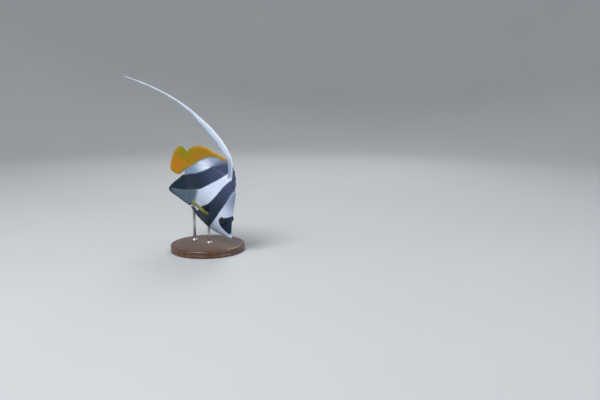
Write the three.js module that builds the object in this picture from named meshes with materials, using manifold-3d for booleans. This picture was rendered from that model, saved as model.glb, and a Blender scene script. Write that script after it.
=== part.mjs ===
// A bannerfish, life size, as a still display model on a plain stand.
//
// The fish is described by stations: s runs from 0 at the snout to 1 at the root of the tail fin,
// and heights z are shares of the same standard length, measured from the mid line.
// In the fish's own frame x points forward, y to its left and z to its back, in millimetres.
// The whole fish is then bent a little at the tail, tilted into its pose and set over the stand.
import * as THREE from "three";
import { mergeVertices } from "three/addons/utils/BufferGeometryUtils.js";
import Module from "manifold-3d";

const wasm = await Module();
wasm.setup();

// Driving dimensions: millimetres, degrees, or shares of the standard length
const STANDARD_LENGTH = 150;
const GAP = 0.3;
const SINK = 4;

const HEADING = -38;
const NOSE_DOWN = 46;
const ROLL = 6;
const FISH_PLACE = [5, -4, 88];
const TAIL_BEND = -8;
const BEND_FROM = 0.55;

const BODY_RINGS = 40;
const BODY_SIDES = 28;
const RING_CROWDING = 0.45;
const MIDDLE_SHARE = 0.46;
const BACK_FULLNESS = 1.12;
const GILL_LIFT = 0.9;
const GILL_SLOPE = 0.075;
const GILL_STEPS = 24;
const TAIL_CUT = 0.86;

const EYE_STATION = 0.17;
const EYE_HEIGHT = 0.06;
const EYE_RADIUS = 6.6;
const EYE_DEPTH = 4;
const EYE_OUT = 1.8;
const EYE_SIDES = 16;
const EYE_BANDS = 10;

const LIP_ROUND = 3.4;
const LIP_WIDTH = 3.3;
const LIP_DROOP = 0.9;
const LIP_ENDS = 0.45;
const UPPER_LIP = { height: -0.036, reach: 1.5, thick: 1.25 };
const LOWER_LIP = { height: -0.06, reach: 0.9, thick: 1.2 };
// Nostrils: [station, height, radius]
const NOSTRILS = [[0.1, 0.045, 0.9], [0.082, 0.032, 0.7]];
const CREASE = [[0.175, -0.045], [0.215, -0.06], [0.24, -0.02], [0.25, 0.05], [0.247, 0.12]];
const CREASE_OUT = 0.2;
const CREASE_RADIUS = [0.35, 0.8];

const FIN_HALF = 0.3;
const RAY_HALF = 0.6;
const TIP_HALF = 0.26;
const TIP_SHARE = 0.25;
const RAY_UNEVEN = 0.012;
const BANNER_SPINE = 0.55;

const BASE_RADIUS = 62;
const BASE_HEIGHT = 12;
const BASE_ROUNDING = 3;
const ROUNDING_STEPS = 3;
const BASE_SIDES = 48;
const ROD_RADIUS = 2.5;
const ROD_SIDES = 20;
const ROD_INTO_BELLY = 6;
const SOCKET_DEPTH = 7;
const ROD_STATIONS = { stand_rod_front: 0.3, stand_rod_rear: 0.605 };

const SEED = 20251;

// Outlines of the body: [station, height] along the back and belly, [station, half width] from above
const BACK = [
  [0, -0.04], [0.04, 0.004], [0.1, 0.075], [0.16, 0.165], [0.22, 0.28], [0.28, 0.384],
  [0.36, 0.423], [0.46, 0.43], [0.56, 0.415], [0.66, 0.36], [0.76, 0.272], [0.86, 0.165],
  [0.93, 0.093], [1, 0.06],
];
const BELLY = [
  [0, -0.062], [0.04, -0.092], [0.1, -0.14], [0.18, -0.195], [0.27, -0.245], [0.36, -0.281],
  [0.46, -0.303], [0.56, -0.306], [0.64, -0.292], [0.72, -0.25], [0.8, -0.183], [0.87, -0.12],
  [0.94, -0.076], [1, -0.06],
];
const HALF_WIDTH = [
  [0, 0.014], [0.04, 0.026], [0.1, 0.047], [0.18, 0.069], [0.28, 0.083], [0.4, 0.085],
  [0.52, 0.075], [0.64, 0.058], [0.76, 0.041], [0.88, 0.025], [1, 0.014],
];
// Rear edge of the gill cover, carried up over the nape and down under the throat
const GILL_EDGE = [
  [0.262, 0.6], [0.275, 0.4], [0.296, 0.24], [0.318, 0.1], [0.33, 0], [0.318, -0.09],
  [0.288, -0.16], [0.245, -0.21], [0.205, -0.25], [0.185, -0.4],
];

// Smooth value at x through a few [x, value] points
function curveThrough(points) {
  const slopeAt = (i) => {
    const a = points[Math.max(i - 1, 0)];
    const b = points[Math.min(i + 1, points.length - 1)];
    return (b[1] - a[1]) / (b[0] - a[0]);
  };
  return (x) => {
    const last = points.length - 2;
    const found = points.findIndex((p) => p[0] > x) - 1;
    const i = found < -1 ? last : Math.min(Math.max(found, 0), last);
    const [x0, v0] = points[i];
    const [x1, v1] = points[i + 1];
    const width = x1 - x0;
    const t = THREE.MathUtils.clamp((x - x0) / width, 0, 1);
    const rise = t * t * (3 - 2 * t);
    const lead = t * (1 - t) * (1 - t) * width;
    const trail = t * t * (t - 1) * width;
    return v0 + (v1 - v0) * rise + slopeAt(i) * lead + slopeAt(i + 1) * trail;
  };
}

const back = curveThrough(BACK);
const belly = curveThrough(BELLY);
const halfWidth = curveThrough(HALF_WIDTH);
const gillEdge = curveThrough(GILL_EDGE.map(([s, z]) => [-z, s]));

// A point of the fish's own frame from a station, a height and a distance to its left
const place = (s, z, left = 0) =>
  new THREE.Vector3((0.5 - s) * STANDARD_LENGTH, left, z * STANDARD_LENGTH);

// Seeded random number from 0 to 1
function seeded(seed) {
  let state = seed;
  return () => {
    state = (state * 1664525 + 1013904223) % 4294967296;
    return state / 4294967296;
  };
}
const random = seeded(SEED);
const jitter = (amount) => (random() - 0.5) * 2 * amount;

// Geometry and solids

function geometryOf(positions, indices) {
  const geometry = new THREE.BufferGeometry();
  geometry.setAttribute("position", new THREE.Float32BufferAttribute(positions, 3));
  geometry.setIndex(indices);
  return geometry;
}

function solidOf(geometry) {
  const bare = geometry.clone();
  bare.deleteAttribute("normal");
  bare.deleteAttribute("uv");
  const merged = mergeVertices(bare, 1e-4);
  return new wasm.Manifold(
    new wasm.Mesh({
      numProp: 3,
      vertProperties: merged.attributes.position.array,
      triVerts: new Uint32Array(merged.index.array),
    }),
  );
}

function geometryFrom(solid) {
  const mesh = solid.getMesh();
  return geometryOf(Array.from(mesh.vertProperties), Array.from(mesh.triVerts));
}

// The largest closed surface of a solid: a hollow that fusing seals is filled, a scrap is dropped
function largest(solid) {
  const pieces = solid.decompose();
  return pieces.reduce((best, piece) => (piece.volume() > best.volume() ? piece : best));
}

// A closed tube of rings: point(row, side) gives each vertex, and both ends close on a middle point
function ringSolid(rows, sides, point) {
  const positions = [];
  const indices = [];
  for (let row = 0; row <= rows; row++) {
    for (let side = 0; side < sides; side++) positions.push(...point(row, side).toArray());
  }
  const middleOf = (row) => {
    const middle = new THREE.Vector3();
    for (let side = 0; side < sides; side++) middle.add(point(row, side));
    return middle.divideScalar(sides).toArray();
  };
  const start = positions.push(...middleOf(0)) / 3 - 1;
  const end = positions.push(...middleOf(rows)) / 3 - 1;
  for (let side = 0; side < sides; side++) {
    const next = (side + 1) % sides;
    for (let row = 0; row < rows; row++) {
      const a = row * sides + side;
      const b = row * sides + next;
      indices.push(a, b, b + sides, a, b + sides, a + sides);
    }
    indices.push(start, next, side);
    indices.push(end, rows * sides + side, rows * sides + next);
  }
  return geometryOf(positions, indices);
}

// A closed thin sheet: middle(column, row) gives its middle surface and half(column, row) half its
// thickness. Both faces are split into triangles alike.
function sheetSolid(columns, rows, middle, half) {
  const count = (columns + 1) * (rows + 1);
  const points = [];
  for (let row = 0; row <= rows; row++) {
    for (let column = 0; column <= columns; column++) points.push(middle(column, row));
  }
  const at = (column, row) => row * (columns + 1) + column;
  const normalAt = (column, row) => {
    const across = points[at(Math.min(column + 1, columns), row)]
      .clone()
      .sub(points[at(Math.max(column - 1, 0), row)]);
    const along = points[at(column, Math.min(row + 1, rows))]
      .clone()
      .sub(points[at(column, Math.max(row - 1, 0))]);
    return across.cross(along).normalize();
  };
  const front = [];
  const rear = [];
  for (let row = 0; row <= rows; row++) {
    for (let column = 0; column <= columns; column++) {
      const lift = normalAt(column, row).multiplyScalar(half(column, row));
      front.push(...points[at(column, row)].clone().add(lift).toArray());
      rear.push(...points[at(column, row)].clone().sub(lift).toArray());
    }
  }
  const indices = [];
  const edge = (from, to) => indices.push(to, from, from + count, to, from + count, to + count);
  for (let row = 0; row < rows; row++) {
    for (let column = 0; column < columns; column++) {
      const a = at(column, row);
      const b = at(column + 1, row);
      const c = at(column + 1, row + 1);
      const d = at(column, row + 1);
      indices.push(a, b, c, a, c, d);
      indices.push(a + count, c + count, b + count, a + count, d + count, c + count);
      if (row === 0) edge(a, b);
      if (row === rows - 1) edge(c, d);
      if (column === 0) edge(d, a);
      if (column === columns - 1) edge(b, c);
    }
  }
  return geometryOf([...front, ...rear], indices);
}

// A tapered round bar along a path, closed at both ends
function barSolid(path, steps, sides, radius) {
  const frames = path.computeFrenetFrames(steps);
  const point = (row, side) => {
    const turn = (side / sides) * 2 * Math.PI;
    return path
      .getPointAt(row / steps)
      .addScaledVector(frames.normals[row], Math.cos(turn) * radius(row / steps))
      .addScaledVector(frames.binormals[row], Math.sin(turn) * radius(row / steps));
  };
  return ringSolid(steps, sides, point);
}

// The body: one loft from the snout to the root of the tail fin

// How far the cheek stands out just in front of the gill cover's edge
function gillLift(s, z) {
  const ahead = gillEdge(-z) - s;
  const low = THREE.MathUtils.smoothstep(0.3 - z, 0, 0.15);
  const share = 1 - THREE.MathUtils.clamp(ahead / GILL_SLOPE, 0, 1);
  return GILL_LIFT * low * share * share;
}

function bodyPoint(s, turn, grow, lifted) {
  const top = back(s) * STANDARD_LENGTH + grow;
  const bottom = belly(s) * STANDARD_LENGTH - grow;
  const middle = bottom + (top - bottom) * MIDDLE_SHARE;
  const rise = Math.sin(turn);
  const z = middle + (rise > 0 ? top - middle : middle - bottom) * rise;
  const round = Math.cos(turn);
  const fullness = rise > 0 ? BACK_FULLNESS : 1;
  let y = (halfWidth(s) * STANDARD_LENGTH + grow) * Math.sign(round) * Math.abs(round) ** fullness;
  if (lifted) y += Math.sign(round) * Math.abs(round) * gillLift(s, z / STANDARD_LENGTH);
  return place(s, z / STANDARD_LENGTH, y);
}

function bodySolid(grow = 0, lifted = false) {
  const point = (row, side) => {
    const share = row / BODY_RINGS;
    const s = share * (1 - RING_CROWDING + RING_CROWDING * share);
    const ends = row === 0 ? -grow : row === BODY_RINGS ? grow : 0;
    const found = bodyPoint(s, (-side / BODY_SIDES) * 2 * Math.PI, grow, lifted);
    found.x -= ends;
    return found;
  };
  return solidOf(ringSolid(BODY_RINGS, BODY_SIDES, point));
}

const trunkBody = bodySolid();
const headBody = bodySolid(0, true);
const grownBody = bodySolid(GAP);

// A block across the fish whose outline in the side view is given as [x, z] corners
function sideBlock(corners) {
  const width = STANDARD_LENGTH;
  const shape = new THREE.Shape(corners.map(([x, z]) => new THREE.Vector2(x, z)));
  const block = new THREE.ExtrudeGeometry(shape, { depth: width, bevelEnabled: false });
  block.rotateX(Math.PI / 2);
  block.translate(0, width / 2, 0);
  return solidOf(block);
}

// Everything ahead of the gill cover's edge, moved back by a distance
function aheadOfGill(shift) {
  const [top, bottom] = [GILL_EDGE[0][1], GILL_EDGE[GILL_EDGE.length - 1][1]];
  const corners = [];
  for (let i = 0; i <= GILL_STEPS; i++) {
    const z = top + ((bottom - top) * i) / GILL_STEPS;
    const point = place(gillEdge(-z), z);
    corners.push([point.x - shift, point.z]);
  }
  corners.push([STANDARD_LENGTH, bottom * STANDARD_LENGTH], [STANDARD_LENGTH, top * STANDARD_LENGTH]);
  return sideBlock(corners.reverse());
}

// Everything behind a station
function behind(s) {
  const x = place(s, 0).x;
  const far = STANDARD_LENGTH;
  return sideBlock([[x, -far], [x, far], [-far, far], [-far, -far]].reverse());
}

const aheadCut = aheadOfGill(-GAP / 2);
const gillSlot = aheadOfGill(GAP);
const behindTail = behind(TAIL_CUT + GAP / STANDARD_LENGTH);
const behindTrunk = behind(TAIL_CUT);

// Eyes

function eyeSolid(side, grow) {
  const ball = new THREE.SphereGeometry(1, EYE_SIDES, EYE_BANDS);
  ball.rotateX(Math.PI / 2);
  ball.scale(EYE_RADIUS + grow, EYE_DEPTH + grow, EYE_RADIUS + grow);
  const centre = eyeCentre(side);
  ball.translate(centre.x, centre.y, centre.z);
  return solidOf(ball);
}

function eyeCentre(side) {
  const cheek = cheekPoint(EYE_STATION, EYE_HEIGHT, side);
  return cheek.setY(cheek.y - side * (EYE_DEPTH - EYE_OUT));
}

// Point on the body's surface at a station and height, on the left (1) or right (-1) side
function cheekPoint(s, z, side) {
  const bottom = belly(s);
  const middle = bottom + (back(s) - bottom) * MIDDLE_SHARE;
  const reach = z > middle ? back(s) - middle : middle - bottom;
  const turn = Math.asin(THREE.MathUtils.clamp((z - middle) / reach, -1, 1));
  const point = bodyPoint(s, turn, 0, false);
  return point.setY(point.y * side);
}

// Lips, nostrils and the crease of the cheek

function lipSolid({ height, reach, thick }) {
  const tip = place(0, height);
  const points = [-80, -45, 0, 45, 80].map((angle) => {
    const turn = THREE.MathUtils.degToRad(angle);
    return new THREE.Vector3(
      tip.x - LIP_ROUND + (LIP_ROUND + reach) * Math.cos(turn),
      LIP_WIDTH * Math.sin(turn),
      tip.z - LIP_DROOP * (1 - Math.cos(turn)),
    );
  });
  const path = new THREE.CatmullRomCurve3(points);
  const radius = (t) => thick * (LIP_ENDS + (1 - LIP_ENDS) * Math.sin(Math.PI * t));
  return solidOf(barSolid(path, 10, 8, radius));
}

function nostrilSolid([s, z, radius], side) {
  const pit = new THREE.SphereGeometry(radius, 8, 6);
  const centre = cheekPoint(s, z, side);
  pit.translate(centre.x, centre.y, centre.z);
  return solidOf(pit);
}

function creaseSolid(side) {
  const out = new THREE.Vector3(0, side * CREASE_OUT, 0);
  const path = new THREE.CatmullRomCurve3(CREASE.map(([s, z]) => cheekPoint(s, z, side).add(out)));
  const [ends, middle] = CREASE_RADIUS;
  return solidOf(barSolid(path, 12, 6, (t) => ends + (middle - ends) * Math.sin(Math.PI * t)));
}

function headSolid() {
  let head = headBody.intersect(aheadCut);
  head = head.add(lipSolid(UPPER_LIP)).add(lipSolid(LOWER_LIP));
  for (const side of [1, -1]) {
    head = head.subtract(eyeSolid(side, GAP)).subtract(creaseSolid(side));
    for (const nostril of NOSTRILS) head = head.subtract(nostrilSolid(nostril, side));
  }
  return largest(head);
}

// Fins

// Rays in a fan: a spine or ray stands at every whole number of u, with membrane between.
// root and tip give [station, height] for u from 0 to 1 along the fin.
function medianFin({ rays, rows, perRay, root, tip, bow = () => 0, notch = 0, rayHalf = RAY_HALF }) {
  const columns = (rays - 1) * perRay;
  const lengths = Array.from({ length: rays }, () => 1 - Math.abs(jitter(RAY_UNEVEN)));
  const middle = (column, row) => {
    const u = column / columns;
    const ray = column / perRay;
    const t = row / rows;
    const between = Math.sin(Math.PI * (ray % 1)) * notch;
    const length = lengths[Math.round(ray)] * (1 - between);
    const [s0, z0] = root(u);
    const [s1, z1] = tip(u);
    const along = t * length;
    const sway = bow(u) * Math.sin(Math.PI * along);
    const s = s0 + (s1 - s0) * along - (z1 - z0) * sway;
    const z = z0 + (z1 - z0) * along + (s1 - s0) * sway;
    return place(s, z);
  };
  const half = (column, row) => {
    const taper = 1 - row / rows;
    const full = column % perRay === 0 ? rayHalf : FIN_HALF;
    return TIP_HALF + (full - TIP_HALF) * (TIP_SHARE + (1 - TIP_SHARE) * taper);
  };
  return solidOf(sheetSolid(columns, rows, middle, half));
}

// Roots along the back or belly, sunk into the body, and tips along a smooth edge
function rootsAlong(profile, from, to, inward) {
  return (u) => {
    const s = from + (to - from) * u;
    return [s, profile(s) + (inward * SINK) / STANDARD_LENGTH];
  };
}

function tipsAlong(points) {
  const edge = new THREE.SplineCurve(points.map(([s, z]) => new THREE.Vector2(s, z)));
  return (u) => edge.getPoint(THREE.MathUtils.clamp(u, 0, 1)).toArray();
}

// The banner: the fourth spine of the back fin, drawn out into a long tapering streamer.
// Each point of its middle line is [station, height, millimetres to the left].
const BANNER_LINE = [
  [0.393, 0.394, 0], [0.448, 0.477, 0], [0.5, 0.541, 0], [0.539, 0.588, 0], [0.587, 0.6155, 0],
  [0.66, 0.6265, -0.2], [0.79, 0.631, -1], [0.92, 0.6265, -2.3],
  [1.046, 0.612, -3.8], [1.329, 0.566, -8.1], [1.641, 0.46, -13.9], [1.995, 0.286, -21.5],
  [2.271, 0.124, -28],
];
const BANNER_WIDTH = [
  [0, 0.05], [0.06, 0.064], [0.11, 0.06], [0.15, 0.062], [0.19, 0.078], [0.24, 0.083],
  [0.34, 0.074], [0.44, 0.044], [0.5, 0.03], [0.65, 0.019], [0.85, 0.014], [1, 0.004],
];
const BANNER_ROWS = 40;
const BANNER_ACROSS = [0, 0.12, 0.3, 1];

function bannerSolid(grow = 0) {
  const path = new THREE.CatmullRomCurve3(BANNER_LINE.map(([s, z, left]) => place(s, z, left)));
  const width = curveThrough(BANNER_WIDTH);
  const middle = (column, row) => {
    const t = row / BANNER_ROWS;
    const along = path.getTangentAt(t);
    const upward = new THREE.Vector3(-along.z, 0, along.x).normalize();
    if (upward.z < 0) upward.negate();
    const lead = 0.5 - BANNER_ACROSS[column];
    const reach = width(t) * STANDARD_LENGTH * lead + 2 * grow * lead;
    return path.getPointAt(t).addScaledVector(upward, reach);
  };
  const half = (column, row) => {
    const taper = 1 - row / BANNER_ROWS;
    const spine = column === 1 ? BANNER_SPINE * taper : 0;
    return TIP_HALF + spine + grow;
  };
  return solidOf(sheetSolid(BANNER_ACROSS.length - 1, BANNER_ROWS, middle, half));
}

// Paired fins: a fan of rays on its own axis, starting inside the body.
// The fan turns from the line of its root to the line of its spread blade.
function pairedFin({ side, root, rootLine, axis, blade, rays, rows, length, spread, ends }) {
  const perRay = 2;
  const columns = (rays - 1) * perRay;
  const outline = curveThrough(ends);
  const origin = place(root[0], root[1], root[2]);
  const aim = new THREE.Vector3(...axis).normalize();
  const start = new THREE.Vector3(...rootLine).normalize();
  const open = new THREE.Vector3(...blade).normalize();
  const middle = (column, row) => {
    const u = column / columns;
    const t = row / rows;
    const across = start.clone().lerp(open, THREE.MathUtils.smoothstep(t, 0, 0.5)).normalize();
    const wide = spread[0] + (spread[1] - spread[0]) * Math.sin((t * Math.PI) / 2);
    const reach = length * outline(u) * t;
    const point = origin
      .clone()
      .addScaledVector(aim, reach)
      .addScaledVector(across, (u - 0.5) * wide);
    return point.setY(point.y * side);
  };
  const half = (column, row) => {
    const full = column % perRay === 0 ? RAY_HALF : FIN_HALF;
    return TIP_HALF + (full - TIP_HALF) * (1 - row / rows);
  };
  return side > 0
    ? solidOf(sheetSolid(columns, rows, middle, half))
    : solidOf(sheetSolid(columns, rows, (column, row) => middle(columns - column, row), (column, row) =>
        half(columns - column, row)));
}

function pectoralFin(side) {
  return pairedFin({
    side,
    root: [0.325, -0.08, 9.5],
    rootLine: [-0.15, 0, -1],
    axis: [-0.875, 0.471, 0.115],
    blade: [-0.39, -0.31, -0.87],
    rays: 13,
    rows: 6,
    length: 41,
    spread: [6, 17],
    ends: [[0, 0.9], [0.2, 1], [0.5, 0.96], [0.8, 0.86], [1, 0.68]],
  });
}

function pelvicFin(side) {
  return pairedFin({
    side,
    root: [0.385, -0.262, 4.5],
    rootLine: [-0.8, 0.3, -0.35],
    axis: [-0.983, 0.137, 0.12],
    blade: [-0.2, 0.5, -0.85],
    rays: 6,
    rows: 7,
    length: 35,
    spread: [5, 7],
    ends: [[0, 0.62], [0.3, 0.74], [0.7, 0.92], [1, 1]],
  });
}

// Stand, in the frame of the finished model

const fishTurn = new THREE.Matrix4().makeRotationFromEuler(
  new THREE.Euler(
    THREE.MathUtils.degToRad(ROLL),
    THREE.MathUtils.degToRad(NOSE_DOWN),
    THREE.MathUtils.degToRad(HEADING),
    "ZYX",
  ),
);
const fishPose = new THREE.Matrix4().makeTranslation(...FISH_PLACE).multiply(fishTurn);

// The tail swings to one side along an arc that starts at BEND_FROM and ends at the tail fin's root
function bendTail(geometry) {
  const position = geometry.attributes.position;
  const start = place(BEND_FROM, 0).x;
  const arc = (1 - BEND_FROM) * STANDARD_LENGTH;
  const radius = arc / THREE.MathUtils.degToRad(TAIL_BEND);
  for (let i = 0; i < position.count; i++) {
    const behindStart = start - position.getX(i);
    if (behindStart <= 0) continue;
    const turn = Math.min(behindStart, arc) / radius;
    const rest = Math.max(behindStart - arc, 0);
    const left = position.getY(i);
    const x = radius * Math.sin(turn) + rest * Math.cos(turn) - left * Math.sin(turn);
    const y = radius * (1 - Math.cos(turn)) + rest * Math.sin(turn) + left * Math.cos(turn);
    position.setXYZ(i, start - x, y, position.getZ(i));
  }
  return geometry;
}

const bent = (solid) => solidOf(bendTail(geometryFrom(solid)));

function posed(solid) {
  const geometry = geometryFrom(solid);
  geometry.applyMatrix4(fishPose);
  return solidOf(geometry);
}

function rodSolid(name, grow, bottom) {
  const s = ROD_STATIONS[name];
  const target = place(s, belly(s)).applyMatrix4(fishPose);
  const top = target.z + ROD_INTO_BELLY;
  const radius = ROD_RADIUS + grow;
  const rod = new THREE.CylinderGeometry(radius, radius, top - bottom, ROD_SIDES);
  rod.rotateX(Math.PI / 2);
  rod.translate(target.x, target.y, (top + bottom) / 2);
  return solidOf(rod);
}

function baseSolid() {
  const corner = BASE_RADIUS - BASE_ROUNDING;
  const profile = [new THREE.Vector2(0, 0), new THREE.Vector2(BASE_RADIUS, 0)];
  for (let i = 0; i <= ROUNDING_STEPS; i++) {
    const turn = (i / ROUNDING_STEPS) * (Math.PI / 2);
    profile.push(
      new THREE.Vector2(
        corner + BASE_ROUNDING * Math.cos(turn),
        BASE_HEIGHT - BASE_ROUNDING + BASE_ROUNDING * Math.sin(turn),
      ),
    );
  }
  profile.push(new THREE.Vector2(0, BASE_HEIGHT));
  const disc = new THREE.LatheGeometry(profile, BASE_SIDES);
  disc.rotateX(Math.PI / 2);
  let base = solidOf(disc);
  for (const name of Object.keys(ROD_STATIONS)) {
    base = base.subtract(rodSolid(name, GAP, BASE_HEIGHT - SOCKET_DEPTH - GAP));
  }
  return largest(base);
}

// Finishes

const finish = (color, roughness, metalness = 0) => ({ color, roughness, metalness });
const WHITE_SKIN = finish("#dfe4e6", 0.35);
const YELLOW_FIN = finish("#d99a12", 0.4);
const BLACK_FIN = finish("#1b1e26", 0.4);
const STRIPED_FIN = finish("#cfd5da", 0.4);
const EYE_BLACK = finish("#0b0b0d", 0.1);
const STAND_WOOD = finish("#4a3222", 0.5);
const STAND_STEEL = finish("#b4b7ba", 0.3, 1);

const model = new THREE.Group();
const fish = new THREE.Group();
fish.applyMatrix4(fishPose);
model.add(fish);

function addNode(group, name, solid, look) {
  const mesh = new THREE.Mesh(geometryFrom(solid), new THREE.MeshStandardMaterial(look));
  mesh.name = name;
  group.add(mesh);
}

const addFlesh = (name, solid, look) => addNode(fish, name, bent(largest(solid)), look);
const addFin = (name, solid, look) => addFlesh(name, solid.subtract(grownBody), look);

// Head, trunk, tail and eyes
addFlesh("head", headSolid(), WHITE_SKIN);
addFlesh("trunk", trunkBody.subtract(gillSlot).subtract(behindTrunk), WHITE_SKIN);
addFlesh("tail_base", trunkBody.intersect(behindTail), WHITE_SKIN);
addFlesh("eye_left", eyeSolid(1, 0), EYE_BLACK);
addFlesh("eye_right", eyeSolid(-1, 0), EYE_BLACK);

// The back fin: short spines, the banner, the rest of the spines, and the soft rays
const bannerClear = bannerSolid(GAP);
addNode(fish, "banner", largest(bannerSolid().subtract(grownBody)), STRIPED_FIN);
addFin(
  "dorsal_fin_front",
  medianFin({
    rays: 4,
    rows: 5,
    perRay: 4,
    root: rootsAlong(back, 0.288, 0.43, -1),
    tip: tipsAlong([[0.33, 0.478], [0.38, 0.53], [0.432, 0.572], [0.485, 0.59]]),
    notch: 0.035,
    rayHalf: 0.95,
  }).subtract(bannerClear),
  BLACK_FIN,
);
addFin(
  "dorsal_fin_spiny",
  medianFin({
    rays: 8,
    rows: 5,
    perRay: 4,
    root: rootsAlong(back, 0.432, 0.7, -1),
    tip: tipsAlong([[0.597, 0.585], [0.645, 0.561], [0.697, 0.533], [0.757, 0.5], [0.826, 0.464]]),
    notch: 0.035,
    rayHalf: 0.85,
  }).subtract(bannerClear),
  STRIPED_FIN,
);
addFin(
  "dorsal_fin_soft",
  medianFin({
    rays: 22,
    rows: 5,
    perRay: 2,
    root: rootsAlong(back, 0.705, 0.945, -1),
    tip: tipsAlong([
      [0.832, 0.461], [0.897, 0.43], [0.968, 0.37], [1.02, 0.303], [1.054, 0.243],
      [1.068, 0.2], [1.059, 0.17], [1.028, 0.152],
    ]),
    bow: () => 0.03,
  }),
  YELLOW_FIN,
);

// Fins of the belly and the tail
addFin(
  "anal_fin",
  medianFin({
    rays: 21,
    rows: 6,
    perRay: 2,
    root: rootsAlong(belly, 0.645, 0.935, 1),
    tip: tipsAlong([
      [0.665, -0.345], [0.75, -0.388], [0.85, -0.43], [0.95, -0.47], [1.012, -0.468],
      [1.02, -0.4], [1.003, -0.31], [0.975, -0.21], [0.955, -0.125],
    ]),
    bow: () => -0.03,
  }),
  STRIPED_FIN,
);
addFin(
  "caudal_fin",
  medianFin({
    rays: 17,
    rows: 7,
    perRay: 2,
    root: (u) => [0.975, 0.05 - 0.1 * u],
    tip: tipsAlong([
      [1.118, 0.163], [1.163, 0.146], [1.195, 0.096], [1.205, 0.028], [1.199, -0.05],
      [1.185, -0.125], [1.159, -0.194], [1.117, -0.235],
    ]),
    bow: (u) => 0.22 * (1 - 2 * u),
  }),
  YELLOW_FIN,
);
for (const [name, side] of [["left", 1], ["right", -1]]) {
  addFin("pectoral_fin_" + name, pectoralFin(side), YELLOW_FIN);
  addFin("pelvic_fin_" + name, pelvicFin(side), BLACK_FIN);
}

// The stand: a round base and two upright rods that end just under the belly
addNode(model, "stand_base", baseSolid(), STAND_WOOD);
const grownFish = posed(grownBody);
for (const name of Object.keys(ROD_STATIONS)) {
  const rod = rodSolid(name, 0, BASE_HEIGHT - SOCKET_DEPTH);
  addNode(model, name, largest(rod.subtract(grownFish)), STAND_STEEL);
}

export default model;
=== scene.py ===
# %% [markdown]
# # A bannerfish on its stand
#
# This lesson builds the looks of a life-size display model of a reef fish: a flat, deep body with two
# broad dark bands, yellow fins behind, and one spine of the back fin drawn out into a long streamer.
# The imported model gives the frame. Every piece is made at its real place, in metres, and rides on it.

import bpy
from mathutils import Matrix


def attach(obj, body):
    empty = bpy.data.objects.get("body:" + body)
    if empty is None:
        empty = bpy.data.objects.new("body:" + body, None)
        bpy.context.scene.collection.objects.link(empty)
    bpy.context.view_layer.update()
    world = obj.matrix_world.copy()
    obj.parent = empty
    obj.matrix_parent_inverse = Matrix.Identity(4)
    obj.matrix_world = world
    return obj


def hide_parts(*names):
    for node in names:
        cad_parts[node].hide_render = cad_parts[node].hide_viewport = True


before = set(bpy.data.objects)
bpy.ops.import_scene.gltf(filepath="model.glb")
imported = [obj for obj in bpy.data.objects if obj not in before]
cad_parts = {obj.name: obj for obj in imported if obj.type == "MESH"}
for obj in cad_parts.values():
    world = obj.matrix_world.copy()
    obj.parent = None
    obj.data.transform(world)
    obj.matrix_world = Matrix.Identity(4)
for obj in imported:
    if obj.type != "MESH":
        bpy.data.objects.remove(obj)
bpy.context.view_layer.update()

import math

import bpy
import numpy as np
from mathutils import Matrix, Vector

print("nodes in the frame:", len(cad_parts))

# %% [markdown]
# The photograph was taken a little above the fish, looking slightly down. The camera comes first,
# because every later choice of detail depends on what it sees.

# %% Camera
CAMERA_PLACE = (0.15575, -1.05294, 0.27087)
CAMERA_DOWN = 10
SENSOR_WIDTH = 36
PHOTO_WIDTH = 600
FOCAL_PIXELS = 640

camera_data = bpy.data.cameras.new("photo camera")
camera_data.sensor_width = SENSOR_WIDTH
camera_data.lens = SENSOR_WIDTH * FOCAL_PIXELS / PHOTO_WIDTH
camera = bpy.data.objects.new("photo camera", camera_data)
camera.location = CAMERA_PLACE
camera.rotation_euler = (math.radians(90 - CAMERA_DOWN), 0, 0)
bpy.context.scene.collection.objects.link(camera)
bpy.context.scene.camera = camera
print("lens in millimetres:", camera_data.lens)

# %% [markdown]
# A fish is easiest to describe in a straight, level frame of its own. Stations run from 0 at the
# snout to 1 at the root of the tail fin, and heights are shares of that same length. One set of
# functions then bends the tail and tilts the whole fish into its pose. Angles are in degrees.

# %% The fish's own frame
BODY_LENGTH = 0.150
HEADING = -38
NOSE_DOWN = 46
ROLL = 6
FISH_PLACE = np.array([0.005, -0.004, 0.088])
TAIL_BEND = -8
BEND_FROM = 0.55

turn_about = lambda degrees, axis: Matrix.Rotation(math.radians(degrees), 3, axis)
POSE_TURN = np.array(turn_about(HEADING, "Z") @ turn_about(NOSE_DOWN, "Y") @ turn_about(ROLL, "X"))
BEND_START = (0.5 - BEND_FROM) * BODY_LENGTH
BEND_ARC = (1 - BEND_FROM) * BODY_LENGTH
BEND_ANGLE = math.radians(TAIL_BEND)
BEND_RADIUS = BEND_ARC / BEND_ANGLE


def in_fish(station, height, left=0.0):
    """Points of the straight fish from stations, heights and distances to its left."""
    station, height, left = np.broadcast_arrays(station, height, left)
    parts = ((0.5 - station) * BODY_LENGTH, left, height * BODY_LENGTH)
    return np.stack([np.asarray(part, float) for part in parts], axis=-1)


def bend_tail(points):
    """Bends the rear of the straight fish along an arc. What is past the arc goes straight on."""
    back_by = BEND_START - points[..., 0]
    angle = np.clip(back_by, 0, BEND_ARC) / BEND_RADIUS
    rest = np.maximum(back_by - BEND_ARC, 0)
    side = points[..., 1]
    along = BEND_RADIUS * np.sin(angle) + rest * np.cos(angle) - side * np.sin(angle)
    across = BEND_RADIUS * (1 - np.cos(angle)) + rest * np.sin(angle) + side * np.cos(angle)
    bent = np.stack([BEND_START - along, across, points[..., 2]], axis=-1)
    return np.where(back_by[..., None] > 0, bent, points)


def to_world(points, bend=True):
    """From the straight fish to the finished model."""
    straight = bend_tail(points) if bend else points
    return straight @ POSE_TURN.T + FISH_PLACE


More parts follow.
